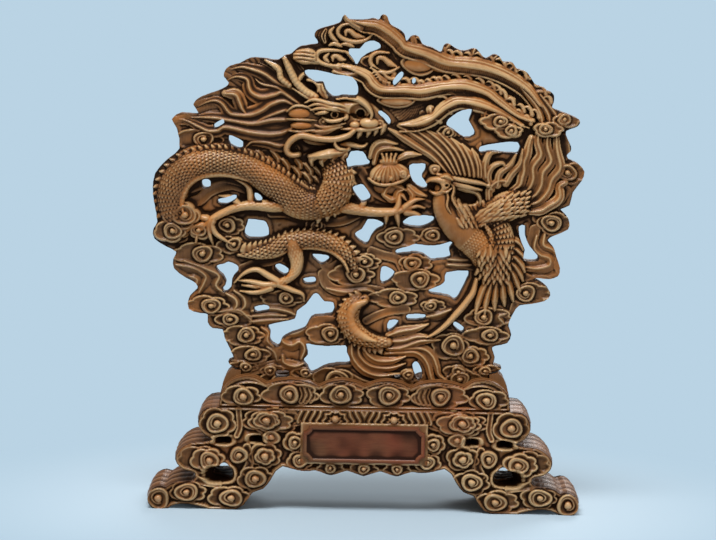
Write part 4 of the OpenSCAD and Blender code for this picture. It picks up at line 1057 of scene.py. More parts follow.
panel.stroke([(-17, 199.8), (-12, 199.6), (-7, 199.4), (-2, 197.6)], [2.6, 3.4, 3.4, 2.4], 7.4,
             [3.0, 3.8, 3.8, 3.0], None, head, 0.2)
panel.hollow(-5.4, 197.6, 4.8, 3.9, 3.4)
panel.hollow(-4.6, 196.7, 2.1, 2.0, 5.2)
panel.stroke([(-16.5, 203.6), (-11, 204.6), (-5.4, 203.2), (-1.4, 200.2), (0.9, 196.6), (0.6, 194.4)],
             [0.5, 1.2, 1.5, 1.4, 1.2, 0.6], 9.0, 2.4, None, head, 0.25)
panel.dome(-0.2, 192.0, 4.9, 2.7, 7.8, 3.4, head, 0.5)
panel.cloud(5.2, 191.8, 1.9, 1.9, 7.0, 2.2, 0, 0.3, 1, True, head, 0.25)
panel.dome(-7.4, 191.0, 2.6, 1.9, 7.8, 2.2, head, 0.35)
panel.stroke([(-14, 188.8), (-9, 189.0), (-4, 188.7), (2, 189.2), (5.8, 190.0)],
             [0.4, 1.0, 1.2, 1.1, 0.5], 7.6, 2.0, None, head, 0.3)
for x, z in ((-5.2, 185.6), (-0.6, 186.5), (3.0, 187.2), (6.4, 187.8)):
    panel.stroke([(x + 0.7, z + 2.8), (x + 0.2, z + 1.0), (x - 0.6, z - 1.2)], [1.4, 1.3, 0.3], 6.4, 2.0,
                 None, head, 0.15)
panel.hollow(-17.4, 195.9, 3.0, 2.7, 1.4)
panel.dome(-17.4, 195.9, 2.15, 2.05, 8.2, 2.0, head, 0.4)
panel.hollow(-17.4, 195.9, 1.4, 1.3, 4.0)
BROWS = [
    [(-32.2, 201.4), (-28.4, 203.2), (-24, 202.6), (-19.8, 201.4), (-14.6, 200.8), (-10.4, 199.6)],
    [(-30.6, 199.6), (-26.8, 201), (-22.6, 200.6), (-19, 199.5), (-15.4, 199.2), (-11.6, 198)],
    [(-29.4, 197.8), (-25.6, 198.9), (-21.8, 198.9), (-18.6, 198.6), (-14.8, 197.6)],
    [(-27, 196), (-23.6, 196.9), (-20.4, 197.2)],
    [(-23.6, 194.6), (-20, 192.8), (-15.4, 193.2), (-12, 194.8)]]
panel.strokes(BROWS, [0.4, 0.95, 0.95, 0.9, 0.3], [8.0, 9.2, 10.2, 10.4, 9.6], 1.7, None, head, 0.25)
for x, z, rx, rz in ((-34.6, 196.2, 5.8, 3.1), (-33.6, 190.2, 5.6, 2.2)):
    panel.dome(x, z, rx, rz, 6.8, 2.4, head, 0.85)
CHEEK_LINES = [
    [(-41, 197), (-37, 199.8), (-31, 199.4), (-27, 196.6)], [(-41, 193.2), (-34, 193.1), (-26, 192.8)],
    [(-40, 187.6), (-34, 187.2), (-27, 188.2)], [(-24, 200.4), (-31, 204), (-38.6, 208.6)],
    [(-28, 185.6), (-22, 186.4), (-17, 188.4)]]
panel.strokes(CHEEK_LINES, [0.3, 0.7, 0.7, 0.2], 8.2, 1.3, None, head)
panel.cloud(-22.8, 192.4, 2.4, 2.1, 8.0, 2.0, 0, 0.1, -1, True, head)
panel.stroke([(-7.8, 188), (-11, 185.6), (-17.7, 183.7), (-26.4, 184.2), (-33, 185.4), (-37.4, 183.8),
              (-40.3, 180.4), (-40.6, 177.2), (-38.4, 175.4), (-35, 175.6)],
             [1.1, 1.5, 1.6, 1.6, 1.6, 1.5, 1.1], [8.4, 8.6, 8.6, 8.2, 7.4, 6.6], 2.4, None, head, 0.5)
panel.stroke([(-44, 225), (-42.4, 222.6), (-37.8, 213.4), (-35.3, 210), (-31.8, 206.7), (-27, 204)],
             [0.7, 1.6, 1.9, 2.0, 2.2], 7.2, 2.6, belly(1.9, 0.4), mane, 0.2)
panel.stroke([(-52, 222), (-50.4, 221), (-45.5, 217.8), (-44.1, 213.3), (-40, 210)], [0.5, 1.4, 1.6, 1.6],
             6.4, 2.2, belly(1.9, 0.4), mane, 0.2)
panel.stroke([(-22, 204), (-24, 207.4), (-25, 210.4), (-28, 212)], [1.6, 2.0, 1.8, 0.6], 7.0, 2.2,
             hair(2, 0.5), mane)
BEARD = [
    [(-25.4, 175.6), (-28.4, 173.4), (-28.2, 170.6)], [(-21.4, 175), (-23.4, 172.6), (-22.6, 170.2)],
    [(-16.6, 175.4), (-18, 173.4), (-17.2, 171.4)], [(-12, 176.4), (-13, 174.4), (-12, 172.8)]]
panel.strokes(BEARD, [1.5, 1.4, 0.4], [8.0, 7.6, 7.2], 1.5, channels(2, 0.6), head, 0.3)
EARS = [[(-34.6, 208.6), (-35.4, 212), (-33.6, 215), (-31.6, 216)],
        [(-31, 212.6), (-27.6, 212.2), (-25.6, 209.4), (-26, 206.8)],
        [(-28.4, 212.4), (-25.2, 213.4), (-22.4, 213), (-21.4, 209.6), (-23.4, 206.4)]]
panel.strokes(EARS, [0.5, 1.0, 1.0, 0.4], 6.8, 1.8, None, mane, 0.2)
FACE_LINES = [
    [(-22, 205.6), (-23, 209.4), (-21.6, 213)], [(-27, 190.4), (-22.4, 189.4), (-17, 190.4), (-12, 191.8)],
    [(-30, 187.6), (-24, 187.4), (-18, 189), (-13.4, 190)], [(-12.6, 197.2), (-11.4, 195), (-12.4, 193.2)]]
panel.strokes(FACE_LINES, [0.6, 1.1, 1.0, 0.3], [7.6, 8.8, 9.2, 9.2], 1.2, None, head, 0.3)

# The pearl and its flames
pearl = "flaming_pearl"
PEARL_TOP = np.array([9.8, 173.4])
PEARL_RIM = [(0.2, 164.2), (3.4, 162.2), (8, 161.4), (13.6, 162.4), (18, 164.4), (20.8, 166.8)]
panel.dome(9.4, 160.4, 7.2, 4.2, 3.0, 2.6, pearl, 0.1)
panel.plate(PEARL_RIM + [(19.2, 169.6), (15.2, 172), (9.8, 173.2), (4.6, 171.6), (1, 168)], 4.4, 4.2, 5.0,
            pearl, 0.25)
for foot in curve(PEARL_RIM, 2)[1:-1]:
    middle = 0.5 * (foot + PEARL_TOP) + 0.22 * np.array([foot[0] - PEARL_TOP[0], 0])
    panel.cut([foot, middle, PEARL_TOP], [0.5, 0.45, 0.3], [0.7, 0.5, 0.3])
panel.stroke(PEARL_RIM, [0.5, 0.8, 0.8, 0.8, 0.5], 6.6, 1.2, None, pearl, 0.35)
for x, z, r in ((17.0, 167.0, 1.9), (11.0, 164.9, 1.2), (5.0, 164.9, 1.1)):
    panel.cloud(x, z, r, r, 7.8, 1.6, 0, 0.2, 1, True, pearl, 0.3)
panel.dome(9.8, 172.8, 4.4, 2.0, 6.0, 1.8, pearl, 0.5)
for lean in (-1.0, -0.35, 0.35, 1.0):
    x = 9.8 + 2.6 * lean
    panel.stroke([(x, 173.2), (x + 0.2 * lean, 175), (x + 0.9 * lean, 176.6)], [0.7, 0.65, 0.4], 6.6, 1.6,
                 None, pearl, 0.6)
FLAMES = [
    [(0.6, 175), (2.4, 180), (6.2, 182.4), (14, 181.6)], [(14, 174), (19, 176.4), (26, 176.6)],
    [(2.6, 172), (4.4, 178), (10, 179.6), (17, 178.4)],
    [(7.6, 156.6), (9.4, 160), (13.6, 161), (19, 158.6)], [(13.8, 153.4), (14.4, 157.6), (17.4, 159)],
    [(19.8, 159.4), (22, 156.4), (20.6, 152.8)], [(8, 156), (12, 154), (16, 156.4), (19, 153.6)],
    [(20, 161), (24, 157.6), (29, 156)]]
panel.strokes(FLAMES, [1.2, 1.8, 1.5, 0.3], 4.6, 1.8, channels(2, 0.7), pearl, 0.2)

# The phoenix: plumes of the tail
UPPER_PLUME = [(-10.6, 242.2), (-7, 241.2), (-2.6, 240.4), (3, 239.5), (9, 236), (14, 232), (17, 229),
               (27, 226), (37, 222), (47, 221), (57, 219.5), (67, 216), (77, 210), (84, 202)]
MIDDLE_PLUME = [(-15.6, 219.6), (-12, 219), (-8, 217.5), (-2, 214.5), (1, 210.6), (6, 208), (17, 208),
                (25, 207.6), (32, 209), (37, 210), (47, 210.3), (57, 207.5), (62, 204), (72, 197),
                (80, 194)]
LOWER_PLUME = [(15, 191), (23, 191.4), (30.6, 194.4), (37.4, 200), (45, 203), (56, 201.2), (67, 196.6),
               (75, 191.6)]
PLUMES = (("phoenix_upper_plume", UPPER_PLUME, 4.9), ("phoenix_middle_plume", MIDDLE_PLUME, 4.1),
          ("phoenix_lower_plume", LOWER_PLUME, 3.7))
for name, points, half in PLUMES:
    vane(name, points, 13, 3.6, 1.7, 0.6)
    swell = half * np.array([0.3, 0.72, 0.95, 0.74, 1.0, 1.14, 0.92, 1.1, 0.96, 0.86, 0.7, 0.5])
    panel.stroke(points, swell, [4.2, 4.8, 4.4, 5.0, 4.6, 4.4], [1.8, 3.0, 3.4, 3.4, 3.0, 2.4],
                 plume_band(1.0, 0.5), name, 0.4)
    panel.stroke(beside(points, -0.84 * half), [0.3, 0.55, 0.55, 0.5, 0.3], 5.4, 0.8, None, name, 0.1)
# Curled tips along the edges of the plumes, then hooks in a row above each
CURLS_OF_PLUMES = [
    ("phoenix_upper_plume",
     [[(-6, 239), (-11, 242), (-13.4, 244.6)], [(8, 237), (7, 241.6), (6.4, 245)],
      [(26, 227), (22.6, 231), (21.4, 234.6)], [(36, 224), (36.4, 228), (38.4, 231)],
      [(48, 222.6), (50, 226), (51, 229)], [(58, 221), (60, 224), (62, 226)],
      [(66, 218), (69.6, 220), (71, 222.6)], [(74, 213.6), (78, 215.6), (78.6, 217.6)],
      [(80, 208), (84, 209), (88.4, 208.6)], [(16, 231), (16, 233.6), (13.6, 237)]]),
    ("phoenix_middle_plume",
     [[(-16, 219), (-22, 222), (-29, 221.6)], [(-6, 216.6), (-12, 215.6), (-18, 217)],
      [(8, 208.6), (6, 212.6), (8, 214.6)], [(34, 209.6), (36, 213), (39, 213.6)],
      [(44, 210), (47, 213), (50, 213.4)], [(54, 208.4), (58, 210.6), (61, 210.6)],
      [(64, 203), (68, 205), (71, 204.6)], [(28, 208), (27, 211.4), (30, 213)]]),
    ("phoenix_lower_plume",
     [[(30, 199), (31, 195), (35, 193)], [(40, 203), (38, 200), (40, 197.6)],
      [(58, 199.6), (57, 196.4), (60, 193)], [(64, 196.6), (66, 199), (69, 198)]])]
for name, tips in CURLS_OF_PLUMES:
    panel.strokes(tips, [2.3, 2.1, 1.2], 4.2, 2.0, channels(2, 0.6), name, 0.2)
hooks = np.random.default_rng(21)
for name, points, half in PLUMES:
    path = beside(points[3:], 0.9 * half)
    for x, z in curve(path, 3)[::3]:
        size, lean = hooks.uniform(2.2, 3.6), hooks.uniform(-0.5, 0.8)
        panel.stroke([(x + 0.9 * size, z - 1.4), (x + 0.7 * size, z + 0.3 * size),
                      (x + 0.1 * size, z + 0.8 * size), (x - 0.6 * size + lean, z + 0.6 * size)],
                     [1.3, 1.2, 0.9, 0.2], 4.4, 1.8, None, name, 0.3)
# Oval eyes of the plumes: across, up, half-width, half-height, owner
PLUME_EYES = [(24.0, 221.4, 9.4, 5.4, "phoenix_upper_plume"),
              (13.0, 203.0, 10.0, 3.2, "phoenix_middle_plume")]
for x, z, rx, rz, name in PLUME_EYES:
    panel.cloud(x, z, rx, rz, 4.2, 1.6, 0, 0.0, 1, False, name, 0.2, keen=1.8)
    panel.dome(x, z, 0.78 * rx, 0.7 * rz, 4.6, 1.5, name, 0.6)
# Leaves at the ends of the plumes: the patch cut down for each, its rims, and the swirl in it
LEAVES = [
    ([(-25.6, 237.6), (-21, 238.6), (-16.4, 240.2), (-12, 240.2), (-5, 236.4), (1.2, 235.4), (0.2, 233),
      (-4, 230.6), (-10, 229), (-17, 228.6), (-25, 229.6)],
     [[(-11, 240.6), (-14.4, 239.8), (-16.5, 237), (-15.4, 234.2), (-12, 232.5), (-7.7, 231.7),
       (-2.8, 232.8), (0.4, 235.4)],
      [(-18.6, 238.6), (-20.2, 236.4), (-19, 233.6), (-16.6, 231.9)],
      [(-20.6, 229.8), (-18, 230.8), (-14.6, 229.4)], [(-14.4, 230.6), (-11.4, 230.6), (-8.6, 229.4)]],
     [(-12.6, 234.8), (-12.4, 237), (-10.2, 237), (-7.4, 234.9), (-3.4, 234.2)]),
    ([(-26.4, 227), (-19, 228), (-11.6, 227), (-9.6, 224.6), (-11.4, 222), (-15.4, 221.6), (-19, 219.6),
      (-24.6, 220.6), (-27, 223.4)],
     [[(-11.6, 226.6), (-18, 227.5), (-25, 226.9), (-26.8, 224), (-24.6, 221.2), (-18.6, 219.8),
       (-13.4, 220.8)],
      [(-12.6, 227), (-10, 224.9), (-7.4, 221.6)], [(-20.8, 225.8), (-22.6, 223.6), (-20.8, 221.6)]],
     [(-18.8, 222.2), (-18.6, 224.4), (-16.4, 224.6), (-14.6, 223.2), (-12.6, 222.8)]),
    ([(0.2, 226), (4, 227.4), (9.4, 227), (12, 224), (14, 220.6), (10, 217.4), (4.6, 216.8), (0, 219.6)],
     [[(9, 226.6), (3.6, 226.9), (0.3, 224.7), (0.2, 221), (4, 217.6), (9, 217), (14, 219.6)]],
     [(3.2, 221.2), (3.6, 224), (6.4, 224), (9.2, 221.6), (12.6, 220)]),
    ([(0.6, 219.8), (3.6, 218.4), (9.4, 215.4), (11, 213.2), (8.6, 212.6), (5.8, 213.6), (2.8, 216.2),
      (0.2, 218.8)],
     [[(0.2, 219.2), (2.8, 217), (4.8, 214.8), (8.2, 213)],
      [(4, 217.4), (6.6, 216.4), (8.2, 214.6), (11.6, 213.4)]],
     [(10.4, 218), (11.6, 216.4), (11, 214.6), (12.4, 213.6)])]
for patch, rims, swirl in LEAVES:
    panel.sink(patch, 2.9)
    panel.strokes(rims, [0.5, 1.0, 1.15, 1.1, 0.5], 4.2, 1.7, None, None, 0.25)
    panel.stroke(swirl, [0.6, 1.3, 1.5, 1.7, 0.6], 3.3, 1.9, None, None, 0.4)
panel.stroke([(-22.8, 231.4), (-23.6, 234.4), (-22.4, 237.4)], [1.5, 2.5, 1.6], 3.2, 2.0,
             channels(3, 0.9), None, 0.0, crevice_shade=0.8)
# Thin ends of the plumes where they run together, and the bud at the end of the middle one
PLUME_ENDS = [
    [(74, 211), (81.4, 203), (84.6, 197), (85.6, 191.6)],
    [(79, 209.6), (85.6, 202), (88.6, 196.6), (89, 192)],
    [(84, 207.4), (89.6, 200.8), (92.4, 196.6), (92.4, 192.6)]]
panel.strokes(PLUME_ENDS, [0.6, 1.6, 1.7, 1.4], 4.6, 2.0, channels(2, 0.7), "phoenix_upper_plume", 0.2)
panel.plate([(-38.6, 222.4), (-37.6, 226.6), (-31, 228.2), (-27, 226.2), (-27.4, 221.6), (-33, 220.2)],
            4.8, 2.4, 2.6, "phoenix_middle_plume", 0.3)
for low in (0.0, 1.9, 3.7):
    panel.cut([(-38, 222.4 + low), (-34, 222.6 + low), (-28, 221.8 + low)], [0.4, 0.5, 0.3], 0.9)

# Crest of the phoenix, one feather after another
FEATHERS = [
    [(8.8, 189.4), (16.5, 185), (23.6, 180.6), (32, 175.2), (40, 166.6)],
    [(14, 190.6), (22, 186.4), (29, 181.6), (36, 175.4), (42, 167)],
    [(21, 189.6), (27, 186), (33, 181.4), (39, 175), (43.6, 167)],
    [(27, 189.4), (33.4, 185), (38.4, 180.4), (42.4, 174.4), (45.4, 167)],
    [(34, 187.6), (39, 183), (43.4, 177.8), (46, 172.4), (47.6, 167)],
    [(40.4, 185), (44.4, 180.6), (47.4, 175.6), (49.4, 170), (50, 166.6)],
    [(46, 182), (48.6, 178), (50.8, 173.4), (52, 169), (52.2, 166.4)],
    [(51, 179.6), (52.6, 175.6), (54, 171.4), (54.4, 166.4)],
    [(54.6, 174.4), (55.6, 170.6), (55.8, 166.2)]]
panel.strokes(FEATHERS, [0.5, 1.9, 1.8, 1.5, 1.0], 4.4, [1.2, 1.6, 1.8, 2.0, 2.2], channels(2, 0.9),
              "phoenix_crest", 0.25)

# Head, neck and body of the phoenix
bird = "phoenix_head"
panel.stroke([(38.4, 164.6), (37, 162), (36, 158.6), (35.8, 155)], [3.4, 4.2, 3.9, 3.4],
             [5.2, 5.2, 4.8, 3.4], [4.0, 4.8, 4.4, 3.0], None, bird, 0.4)
panel.sink([(29.6, 163), (34.4, 163), (36, 161), (35, 158.8), (31, 158.6)], 2.8)
panel.stroke([(28.6, 162.8), (30.4, 164.2), (33.6, 164.6), (37, 164)], [0.2, 0.9, 1.4, 1.6],
             [6.6, 7.4, 8.0, 8.2], 1.8, None, bird, 0.5)
panel.stroke([(30.6, 158.6), (32.4, 157.7), (35, 157.6), (37, 159)], [0.3, 0.9, 1.2, 1.2],
             [6.0, 6.6, 7.2, 7.6], 1.6, None, bird, 0.5)
panel.dome(38.7, 161.9, 1.35, 1.25, 9.0, 0.9, bird, 0.3)
panel.hollow(38.7, 161.9, 0.85, 0.8, 3.0)
panel.stroke([(35.6, 166), (38.4, 166.2), (41.4, 164.6)], [0.3, 0.8, 0.3], 9.0, 1.2, None, bird, 0.3)
panel.stroke([(36.4, 158.8), (38.8, 158.6), (41, 160.4)], [0.3, 0.6, 0.3], 9.0, 0.9, None, bird, 0.3)
panel.cloud(32.7, 169.4, 2.6, 2.4, 5.6, 1.8, 0, 0.1, 1, True, bird)
panel.stroke([(34, 167), (42, 165.2), (50, 163.8), (56.2, 162.8), (60, 161.6)], [0.8, 1.2, 1.2, 1.0, 0.4],
             6.2, 1.5, belly(1.3, 0.3), bird, 0.2)
panel.dome(59.4, 161.8, 1.1, 1.0, 6.4, 1.0, bird)
panel.stroke([(42, 162.6), (49, 161), (56, 159.6)], [1.4, 1.4, 0.5], 5.8, 1.8, hair(2, 0.5), bird, 0.1)
panel.stroke([(43, 160.6), (48, 159.6), (53, 158.2), (55.4, 155.4), (55.6, 152)], [0.8, 1.2, 1.2, 0.4],
             5.2, 1.6, channels(2, 0.6), bird)
body = "phoenix_body"
BIRD = [(36.4, 159.6), (37.4, 151.4), (41.6, 144.8), (48, 138.5), (55, 132), (59, 125), (61, 117)]
panel.stroke(BIRD, [3.8, 5.6, 7.4, 8.4, 8.2, 7.0, 4.6], 3.6, [4.2, 5.8, 7.0, 7.6, 7.2, 5.8, 3.4],
             scales(1.6, 1.6, 0.8, 28.0), body, 0.4, crevice_shade=0.2)
NECK_LINES = [
    [(40.1, 163.2), (42.3, 160.4), (41.6, 155.5), (43.9, 151), (46, 147.5)],
    [(38, 160), (39.4, 156), (39, 151.6), (41, 148)],
    [(42.6, 156), (43.6, 152), (46.4, 148.6), (50, 146.6)]]
panel.strokes(NECK_LINES, [0.3, 0.6, 0.6, 0.2], [7.4, 8.8, 9.8, 10.2], 1.0, None, body, 0.4)

# Wing of the phoenix: short coverts over long primaries
wing = "phoenix_wing"
PRIMARIES = [
    [(62, 118), (58, 110), (55.6, 103), (54.4, 97.4)],
    [(63.4, 118.4), (61, 110), (59.4, 103.4), (59, 97.8)],
    [(65, 119), (64.2, 111), (63.8, 104.6), (64, 99.6)],
    [(66.6, 120), (67.4, 112.6), (68, 106.6), (68.8, 102)],
    [(68, 121.6), (70.2, 115), (71.6, 109.6), (73, 104.4)],
    [(69, 123.6), (72.6, 118), (74.6, 113.4), (76.4, 109.4)],
    [(69.4, 126), (73.6, 121.6), (76, 118), (77.6, 114.6)],
    [(69.4, 129), (74, 125.6), (77, 122), (78.4, 119)],
    [(69, 132.6), (73.6, 130.4), (76.8, 127.6), (78.6, 125)],
    [(68.4, 136), (72.6, 135), (75.8, 132.8), (77.4, 130)]]
panel.strokes(PRIMARIES, [1.4, 2.1, 2.1, 1.7, 0.7], 3.7, [2.6, 2.4, 2.0, 1.4], barbs(1.1, 1.2, 0.4, 0.8),
              wing, 0.25)
COVERTS = [(61, 148), (65.6, 141), (67, 133), (66, 124), (63, 115.6)]
panel.stroke(COVERTS, [3.0, 5.4, 6.4, 6.6, 5.6], [4.8, 5.0, 5.0, 4.6, 4.2], [3.0, 3.6, 3.6, 3.2, 2.4],
             scales(2.5, 2.0, 1.2), wing, 0.25, crevice_shade=0.55)
# Shaggy small feathers, one by one, over the wing and the breast
shag = np.random.default_rng(23)
for row, z in enumerate(np.arange(115.6, 131, 2.3)):
    for x in np.arange(55.6 + 1.3 * (row % 2), 70, 2.6):
        lean = 0.5 * (x - 62) / 4 + shag.uniform(-0.9, 0.9)
        there = panel.height[panel.spot(x, z)]
        if there > 5.4:
            level = there + np.array([-0.7, -0.1, 0.4])
            panel.stroke([(x - 0.4 * lean, z + 2.8), (x, z), (x + lean, z - 2.8)], [0.8, 1.2, 0.3], level,
                         0.9, None, wing, 0.25)
for row, z in enumerate(np.arange(143.2, 153, 2.1)):
    for x in np.arange(45.6 + 1.2 * (row % 2), 60, 2.4):
        level = max(panel.height[panel.spot(x, z)], 4.6) + np.array([-0.6, 0.0, 0.4])
        lean = 1.0 + shag.uniform(-0.5, 0.5)
        panel.stroke([(x - lean, z + 2.2), (x, z), (x + 1.2 * lean, z - 2.2)], [0.8, 1.2, 0.3], level,
                     0.8, None, body, 0.3)
EDGE_OF_WING = [(58, 143), (61, 137), (61.6, 129), (60.4, 121), (58.4, 115)]
panel.stroke(EDGE_OF_WING, [1.0, 1.7, 1.9, 1.7, 0.8], 7.4, 1.6, scales(1.6, 1.6, 0.7), wing, 0.4, crevice_shade=0.4)

# Rump: a dome of small round feathers, flame curls and the bundle of quills above it
rump = "phoenix_rump"
panel.stroke([(52, 141.5), (59, 146), (65, 149.6), (71, 152.6), (77, 155), (81, 156.4)],
             [3.0, 5.4, 7.0, 7.6, 6.6, 1.6], 4.6, [3.0, 4.4, 5.2, 5.2, 4.0, 1.0], scales(1.4, 1.4, 0.6),
             rump, 0.3, crevice_shade=0.4)
bed = panel.height.copy()
for row, along in enumerate(np.arange(54, 79, 2.6)):
    for off in np.arange(-6 + row % 2, 6.1, 2.0):
        x = along + shag.uniform(-0.9, 0.9)
        z = 142.5 + 0.51 * (x - 54) + off + shag.uniform(-0.3, 0.3)
        there = panel.spot(x, z)
        if panel.owner[there] == panel.number(rump) and bed[there] > 5.8:
            level = bed[there] + np.array([-0.7, 0.0, 0.4])
            rise = 1.3 + 0.16 * off
            panel.stroke([(x - 2.2, z - rise), (x, z), (x + 2.6, z + rise)], [0.5, 1.05, 0.3], level, 0.7,
                         None, rump, 0.3)
QUILLS = [
    [(77, 152), (84, 154.6), (90, 160), (91, 166), (94.4, 172), (94, 180), (92, 188)],
    [(76, 155), (82, 157.6), (86.6, 163), (86.4, 169.4), (89.6, 175), (89, 182), (88, 190)],
    [(74, 157.6), (79, 161), (82.4, 166), (81.4, 172), (84.6, 178), (84.4, 184), (83.4, 190)],
    [(70, 159), (75, 163), (77.4, 168), (76, 173.6), (79.4, 179), (79.6, 186)],
    [(79, 149), (87, 150.4), (93, 154.6), (95, 161), (97, 164)]]
for points in QUILLS:
    path = curve(points, 3)
    path[:, 0] += 0.9 * np.sin(np.linspace(0, 4.2 * math.pi, len(path)))
    panel.stroke(path, [1.2, 2.4, 2.6, 2.6, 2.2, 1.4], 4.4, [1.6, 2.2, 2.2, 2.0, 1.6], channels(2, 1.0),
                 rump, 0.2)
RUMP_CURLS = [
    [(61, 160), (59, 166), (61, 171), (66, 173), (68, 170)], [(64, 162), (65, 168), (70, 172), (73, 178)],
    [(58, 166), (57.6, 172), (60, 178), (66, 179)], [(68, 163), (71, 168), (75, 173), (76, 180)],
    [(60, 155), (60, 160), (64, 164), (70, 164)]]
panel.strokes(RUMP_CURLS, [1.8, 1.8, 1.4, 0.4], 4.8, 2.0, channels(2, 0.9), rump, 0.2)
# Clouds over the ends of the quills: across, up, half-width, half-height, hand
OVER_QUILLS = [
    (64.0, 193.6, 8.0, 4.0, 1), (69.6, 189.2, 6.6, 3.6, 1), (87.6, 190.2, 7.0, 3.8, -1),
    (96.8, 195.2, 6.8, 3.8, -1)]
for x, z, rx, rz, hand in OVER_QUILLS:
    head_of_cloud(x, z, rx, rz, 5.6, 2.4, hand)
panel.stroke([(54.5, 115), (53, 108.5), (50.5, 104.5), (47.5, 100.5), (44.5, 97), (41, 93), (37, 89.3),
              (33, 86.7), (30, 85.4)],
             [0.9, 1.4, 1.5, 1.5, 1.3, 1.0, 0.3], 5.0, [1.8, 2.2, 2.2, 2.0, 1.6], None,
             "phoenix_streamer", 0.7, 1.15)

# What is left of the clouds is filled with curls and ribbons
panel.fill_with_curls(clouds_only & (panel.height < 2.4), 3.6, 6.5, 2.6, 2.4)
panel.fill_with_ribbons(panel_inside & (panel.height < 2.9), 2.6, 2.1, 1.6)
# A dark recess between the neck and the rump of the phoenix
panel.pit(49.2, 155.0, 5.0, 2.9, 1.2)
# Traces of the chisel and the rolled rim, and over the hidden pegs at least their height
panel.height += 0.07 * panel.noise(5, 4) + 0.1 * panel.noise(16, 5)
panel.round_rim(panel_rim, 2.6, 1.6, 13.5)
pegs = np.clip(1.7 * blur(panel.stamp("relief_pegs") > 0.3, 0.8, CELL), 0, 1)
panel.height = np.maximum(panel.height, PEG_END * pegs)
foot_rows = panel.z < LOWEST_FREE
panel.height[foot_rows] = np.minimum(panel.height[foot_rows], FOOT_MOST)
panel.tone = np.clip(panel.tone + 0.5 * np.clip(panel.noise(34, 6), 0, 1), 0, 1)
hollow, proud = panel.shade_and_wear()
# Painted shade and painted highlight are made stronger on the phoenix
phoenix = np.isin(panel.owner, [panel.number(name) for name in RELIEF if name.startswith("phoenix")])
hollow[phoenix] = np.clip(1.2 * hollow[phoenix], 0, 1)
proud[phoenix] = np.clip(1.55 * proud[phoenix], 0, 1)
# Painted shade: the backs of the forms, and their sides down towards them, are darkened
shaded_back = [panel.even(value) for value in (0.6, 0.0, 0.0)]
for name in RELIEF:
    block_piece(panel, name, GROUND_Y - panel.height, panel.even(GROUND_Y), (hollow, proud, panel.tone),
                shaded_back, "screen", "carving", CARVED, panel_inside)

# Back of the panel: the same forms in low relief
# How high it stands at most, the height below which it is plain, and the height from which curls fill it
REAR_MOST, PLAIN_BELOW, CURLS_ABOVE = 1.95, 52, 68
rear = Carving((-HALF_WIDTH, 44), (HALF_WIDTH, TOP), REAR_CELL, 0.0)
rear.cover = rear.stamp("ground_board", 1)
trim_corners(rear)
rear.owner[:] = rear.number("ground_board")
for x, z, rx, rz, hand in CLOUD_HEADS:
    rear.cloud(x, z, 1.25 * rx, 1.25 * rz, 0.1, 1.6, 5, 0.4 * hand, hand, False)
    rear.cloud(x, z, rx, rz, 0.5, 1.5, 0, 0.2 * hand, -hand)
for points, half in DRIFTS:
    rear.stroke(points, 1.3 * half, 0.7, 0.2, channels(1, 0.9))
rear.strokes(LOCKS, [2.4, 3.4, 3.2, 2.4, 0.8], 0.5, 1.0, channels(2, 1.1))
BIRD_BACK = [3.3, 4.6, 6.6, 8.0, 8.0, 7.0, 4.6]
for points, half in ((UPPER_COIL, 6.6), (LOWER_COIL, 4.4), (TAIL, 3.6), (BIRD, BIRD_BACK)):
    rear.stroke(points, half, 0.1, 1.2, scales(4.4, 4.6, 0.85))
rear.strokes(QUILLS + PRIMARIES + FEATHERS, 2.1, 0.2, 0.2, keel(1.4))
rear.strokes((UPPER_PLUME, MIDDLE_PLUME, LOWER_PLUME), 4.2, 0.4, 1.1, channels(2, 1.0))
rear_inside = rear.inside
rear_rim = rear.free_reach(rear_inside, 4.0)
bare = rear_inside & (rear.height < 0.3) & (rear.z > CURLS_ABOVE)[:, None]
rear.fill_with_curls(bare, 4.0, 7.0, 0.2, 1.5)
rear.fill_with_ribbons(rear_inside & (rear.height < 0.2), 3.2, 0.1, 1.1)
rear.height += 0.1 * rear.noise(7, 13)
rear.round_rim(rear_rim, 2.4, -1.8, REAR_MOST)
rear.tone = np.clip(rear.tone + 0.6 * np.clip(rear.noise(22, 14), 0, 1), 0, 1)
rear.height[rear.z < PLAIN_BELOW] = 0.0
# Painted shade: the face of the ground, deep between the forms, is darkened all over
block_piece(rear, "ground_board", rear.even(GROUND_Y + 0.05), -GROUND_Y + rear.height,
            [rear.even(value) for value in (0.7, 0.0, 0.0)], (*rear.shade_and_wear(), rear.tone),
            "screen", "ground", GROUND, slices=3)

# The stand. Its front and its back are carved alike, apart from the plaque
FEET = ["left_foot", "right_foot"]
# Depths of the ground on the stand and on its rails, the highest and the lowest of the carving on it
STAND_FLOOR, RAIL_FLOOR, STAND_MOST, DEEPEST = 26.0, 23.0, 4.1, -2.4
# How far out the carved faces of the feet, an apron and a rail lie at least
FACES_PAST = (28.5, 28.5, 27.0, 25.0)
# Small clouds over the lower ends of the aprons' pegs
PEG_CLOUD_X, PEG_CLOUD_Z = 46.0, 36.4
# Band of lotus petals: middle of its rings and height of their beads, half its width, its foot and top
LOTUS_X, LOTUS_Z, LOTUS_BEAD, LOTUS_HALF, LOTUS_FOOT, LOTUS_TOP = 14.5, 45.0, 46.0, 33.5, 43.6, 50
# Bed of the plaque: half its width, its middle, half its height, and its lowest and highest levels
BED_X, BED_Z, BED_RISE, BED_LEVELS = 31.4, 34, 10.2, (1.3, 1.5)

